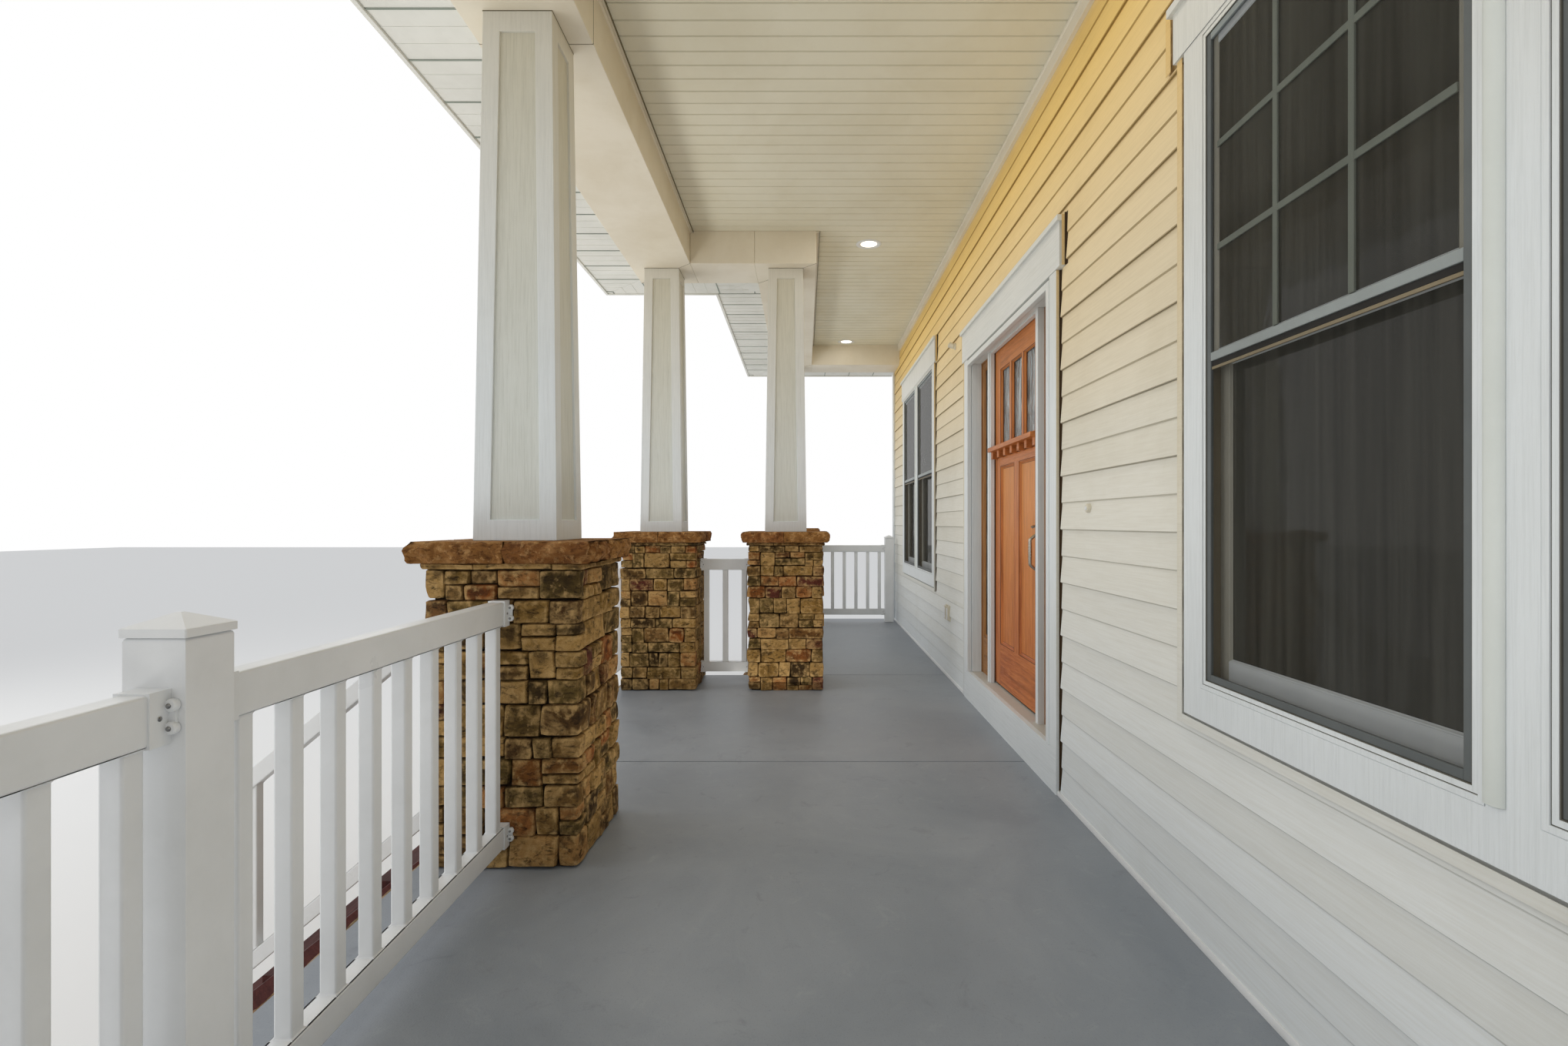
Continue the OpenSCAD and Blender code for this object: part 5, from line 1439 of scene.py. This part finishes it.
def make_stairs():
    """Two boards to every tread."""
    shape = Shape()
    gap = 0.004
    for low, high in solids("treads"):
        half = (high.y - low.y - gap) / 2
        rng = random.Random(round(low.z * 1000))
        for y in (low.y, low.y + half + gap):
            shape.box((low.x, y, low.z), (high.x, y + half, high.z), rng.random(), 0)
    shape.piece("tread_boards", [STAIR], "stair_paint", replaces=["treads"], bevel=0.004)


def make_fittings():
    """Doorbell button, small camera and two outlet covers, each inside its CAD solid's place."""
    shape = Shape()
    face = Matrix.Rotation(math.pi / 2, 3, "X")
    aim = Matrix.Rotation(math.radians(64), 3, "X") @ Matrix.Rotation(math.radians(-18), 3, "Y")
    ring = [(0.0175, 0.0), (0.0175, 0.016), (0.0155, 0.019), (0.010, 0.0195)]
    button = [(0.0085, 0.019), (0.0085, 0.0215), (0.006, 0.023), (0.001, 0.0235)]
    foot = [(0.024, 0.0), (0.024, 0.014), (0.016, 0.016), (0.012, 0.024), (0.012, 0.026)]
    barrel = [(0.016, 0.0), (0.019, 0.002), (0.020, 0.040), (0.018, 0.043), (0.0145, 0.0435), (0.0145, 0.040)]
    eye = [(0.0142, 0.040), (0.010, 0.0412), (0.004, 0.0418)]
    for low, high in solids("wall_fittings"):
        x, z, size = (low.x + high.x) / 2, (low.z + high.z) / 2, high - low
        if abs(size.x - size.z) >= 0.001:
            for y0, y1, side, lift, drop, tone, mat in (
                    (-0.012, 0, 0, 0, 0, 0.5, 0), (low.y + 0.001, -0.012, 0.006, 0.010, 0.012, 0.3, 0),
                    (low.y, low.y + 0.0015, 0.010, 0.016, 0.020, 0.7, 1)):
                shape.boards(y0, y1, (low.x + side, high.x - side, low.z + lift, high.z - drop, tone, mat))
        elif size.x < 0.04:
            shape.lathe(ring, (x, 0, z), 32, turn=face)
            shape.lathe(button, (x, 0, z), 24, 0.5, 1, face)
        else:
            shape.lathe(foot, (x, 0, z), 32, turn=face)
            shape.lathe(barrel, (x, -0.016, z), 32, 0.5, 0, aim)
            shape.lathe(eye, (x, -0.016, z), 24, 0.5, 2, aim)
    looks = [FITTING, VINYL, SEAL_AND_SHADE]
    shape.piece("wall_fitting_shells", looks, "fitting_plastic", replaces=["wall_fittings"], bevel=0.0015)


def make_column_panels():
    """The boards at the back of the columns' sunk panels, a little greyer than the stiles round them as painted
    shade of the recess, and with a coarser grain.
    """
    shape = Shape()
    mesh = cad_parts["columns"].data
    thick, clear = 0.0012, 0.0006
    for low, high in column_boxes:
        middle = (low + high) / 2
        spots = [v.co - middle for v in mesh.vertices if low.x <= v.co.x <= high.x
                 and low.y <= v.co.y <= high.y and low.z + 0.01 < v.co.z < high.z - 0.01]
        rows = []
        for level in (min(p.z for p in spots), max(p.z for p in spots)):
            ring = [p for p in spots if abs(p.z - level) < 0.002]
            face = max(p.x for p in ring)
            half = max(p.y for p in ring if p.x > face - 0.0001)
            sunk = max(p.x for p in ring if p.x < face - 0.002)
            rows.append((middle.z + level, half - clear, sunk))
        for turn in range(4):
            spin = Matrix.Rotation(math.pi / 2 * turn, 3, "Z")
            points = []
            for z, half, sunk in rows:
                for out in (sunk, sunk + thick):
                    for side in (-half, half):
                        points.append(spin @ Vector((out, side, 0)) + Vector((middle.x, middle.y, z)))
            faces = [[2, 3, 7, 6], [0, 2, 6, 4], [3, 1, 5, 7], [4, 6, 7, 5], [0, 1, 3, 2], [1, 0, 4, 5]]
            shape.add(points, faces, 0.3 + 0.1 * turn)
    shape.piece("column_panels", [COLUMN_PANEL_SHADE], "white_wood")


# CAD nodes that keep their shape: their material and the bevel of their edges
KEPT = (
    ("porch_slab", FLOOR, 0.002), ("house_base", CONCRETE, 0.003), ("columns", GRAIN_Z, 0.0022),
    ("long_beams cross_beams", METAL_WHITE, 0.004), ("soffits", SOFFIT, 0), ("fascias", SOFFIT, 0.002),
    ("roof_covering", SHINGLES, 0), ("rafters", RAFTER, 0), ("wall_uprights wall_heads wall_sills", PLASTER, 0),
    ("door_casings corner_posts window_casings", GRAIN_Z, 0.002), ("door_jambs door_stops", GRAIN_Z, 0.0015),
    ("door_head_board skirt_board door_head", GRAIN_X, 0.002), ("door_sill", SILL_METAL, 0.003),
    ("door_shelf", DOOR_X, 0.002), ("door_glass sidelite_glass", DOOR_GLASS, 0),
    ("door_hinges jamb_hinges", NICKEL, 0.0006), ("window_frames", LINER, 0.001), ("window_glass", PANE, 0),
    ("railings stair_rails", VINYL, 0.005), ("rail_posts", VINYL, 0.006), ("post_caps", VINYL, 0.003),
    ("stringers", STAIR, 0.003), ("risers", RISER, 0.001))

for nodes, look, bevel in KEPT:
    for node in nodes.split():
        dress(node, look, bevel)
make_piers()
make_foundation()
make_caps()
make_siding()
make_channels()
make_ceiling()
make_lights()
make_eaves()
make_beams()
make_roof()
make_door()
make_sidelites()
make_handle()
make_door_trim()
make_windows()
make_rails()
make_stairs()
make_fittings()
make_column_panels()


# ---------------------------------------------------------------- stage, light and camera

def make_stage():
    """A pale floor just under the ground level of the porch."""
    mesh = bpy.data.meshes.new("studio_floor")
    reach, z = 60.0, -0.002
    corners = ((-reach, -reach, z), (reach, -reach, z), (reach, reach, z), (-reach, reach, z))
    mesh.from_pydata(corners, [], [[0, 1, 2, 3]])
    obj = bpy.data.objects.new("studio_floor", mesh)
    bpy.context.scene.collection.objects.link(obj)
    mesh.materials.append(Look("studio_floor", 0.9, grey(0.8), Specular_IOR_Level=0.1).mat)


def make_world():
    """Even light from all round; what the camera, gloss and glass see of it is white."""
    world = bpy.data.worlds.new("studio")
    bpy.context.scene.world = world
    world.use_nodes = True
    tree = world.node_tree
    tree.nodes.clear()
    out, mix, light, shown, rays = (tree.nodes.new("ShaderNode" + kind) for kind in (
        "OutputWorld", "MixShader", "Background", "Background", "LightPath"))
    light.inputs["Color"].default_value = (0.97, 0.985, 1.0, 1)
    light.inputs["Strength"].default_value = 0.78
    shown.inputs["Color"].default_value = (1, 1, 1, 1)
    last = rays.outputs["Is Camera Ray"]
    for name in ("Is Glossy Ray", "Is Transmission Ray"):
        join = tree.nodes.new("ShaderNodeMath")
        join.operation = "MAXIMUM"
        tree.links.new(last, join.inputs[0])
        tree.links.new(rays.outputs[name], join.inputs[1])
        last = join.outputs[0]
    for source, target in ((last, mix.inputs[0]), (light.outputs[0], mix.inputs[1]),
                           (shown.outputs[0], mix.inputs[2]), (mix.outputs[0], out.inputs["Surface"])):
        tree.links.new(source, target)


def area_light(name, place, aim, size, power, colour):
    """A soft rectangle of light that neither the camera nor gloss sees, its width along X where it can."""
    data = bpy.data.lights.new(name, "AREA")
    data.shape = "RECTANGLE"
    data.size, data.size_y = size
    data.energy, data.color = power, colour
    obj = bpy.data.objects.new(name, data)
    obj.location = place
    way = (Vector(aim) - Vector(place)).normalized()
    obj.rotation_mode = "QUATERNION"
    if abs(way.z) > 0.99:
        obj.rotation_quaternion = (1, 0, 0, 0) if way.z < 0 else (0, 1, 0, 0)
    else:
        obj.rotation_quaternion = way.to_track_quat("-Z", "Y")
    obj.visible_camera = obj.visible_glossy = False
    bpy.context.scene.collection.objects.link(obj)


def make_camera():
    """The photograph's level wide-angle view along the porch, from behind the near railing."""
    focal, width, middle, vanishing = 969, 2038, 1019, 1045.5  # pixels of the photograph
    data = bpy.data.cameras.new("camera")
    data.sensor_width = 36.0
    data.lens = focal / width * data.sensor_width
    data.clip_start, data.clip_end = 0.02, 300
    data.shift_x = (middle - vanishing) / width
    obj = bpy.data.objects.new("camera", data)
    obj.location = (4.170, -1.118, floor_z + 1.183)
    obj.rotation_mode = "QUATERNION"
    obj.rotation_quaternion = Vector((-1, 0, 0)).to_track_quat("-Z", "Y")
    bpy.context.scene.collection.objects.link(obj)
    bpy.context.scene.camera = obj


make_stage()
make_world()
for light in (
        ("key", (1.0, -11.0, 6.0), (0.0, -1.0, 2.2), (8.0, 8.0), 290, (1.0, 0.98, 0.94)),
        ("end_fill", (12.0, -2.6, 3.6), (2.0, -1.0, 2.0), (5.0, 5.0), 80, (1.0, 0.98, 0.96)),
        ("porch_up", (0.2, -1.25, floor_z + 0.06), (0.2, -1.25, 5.0), (9.0, 0.8), 25, (1.0, 0.97, 0.9)),
        ("lawn_up", (0.2, -5.0, 0.05), (0.2, -5.0, 4.1), (11.0, 1.6), 150, (1.0, 0.97, 0.9)),
        ("porch_down", (0.2, -0.68, ceiling_z - 0.03), (0.2, -0.68, 0.0), (9.0, 0.5), 20, (1.0, 0.99, 0.97))):
    area_light(*light)
make_camera()
bpy.context.scene.view_settings.view_transform = "Standard"
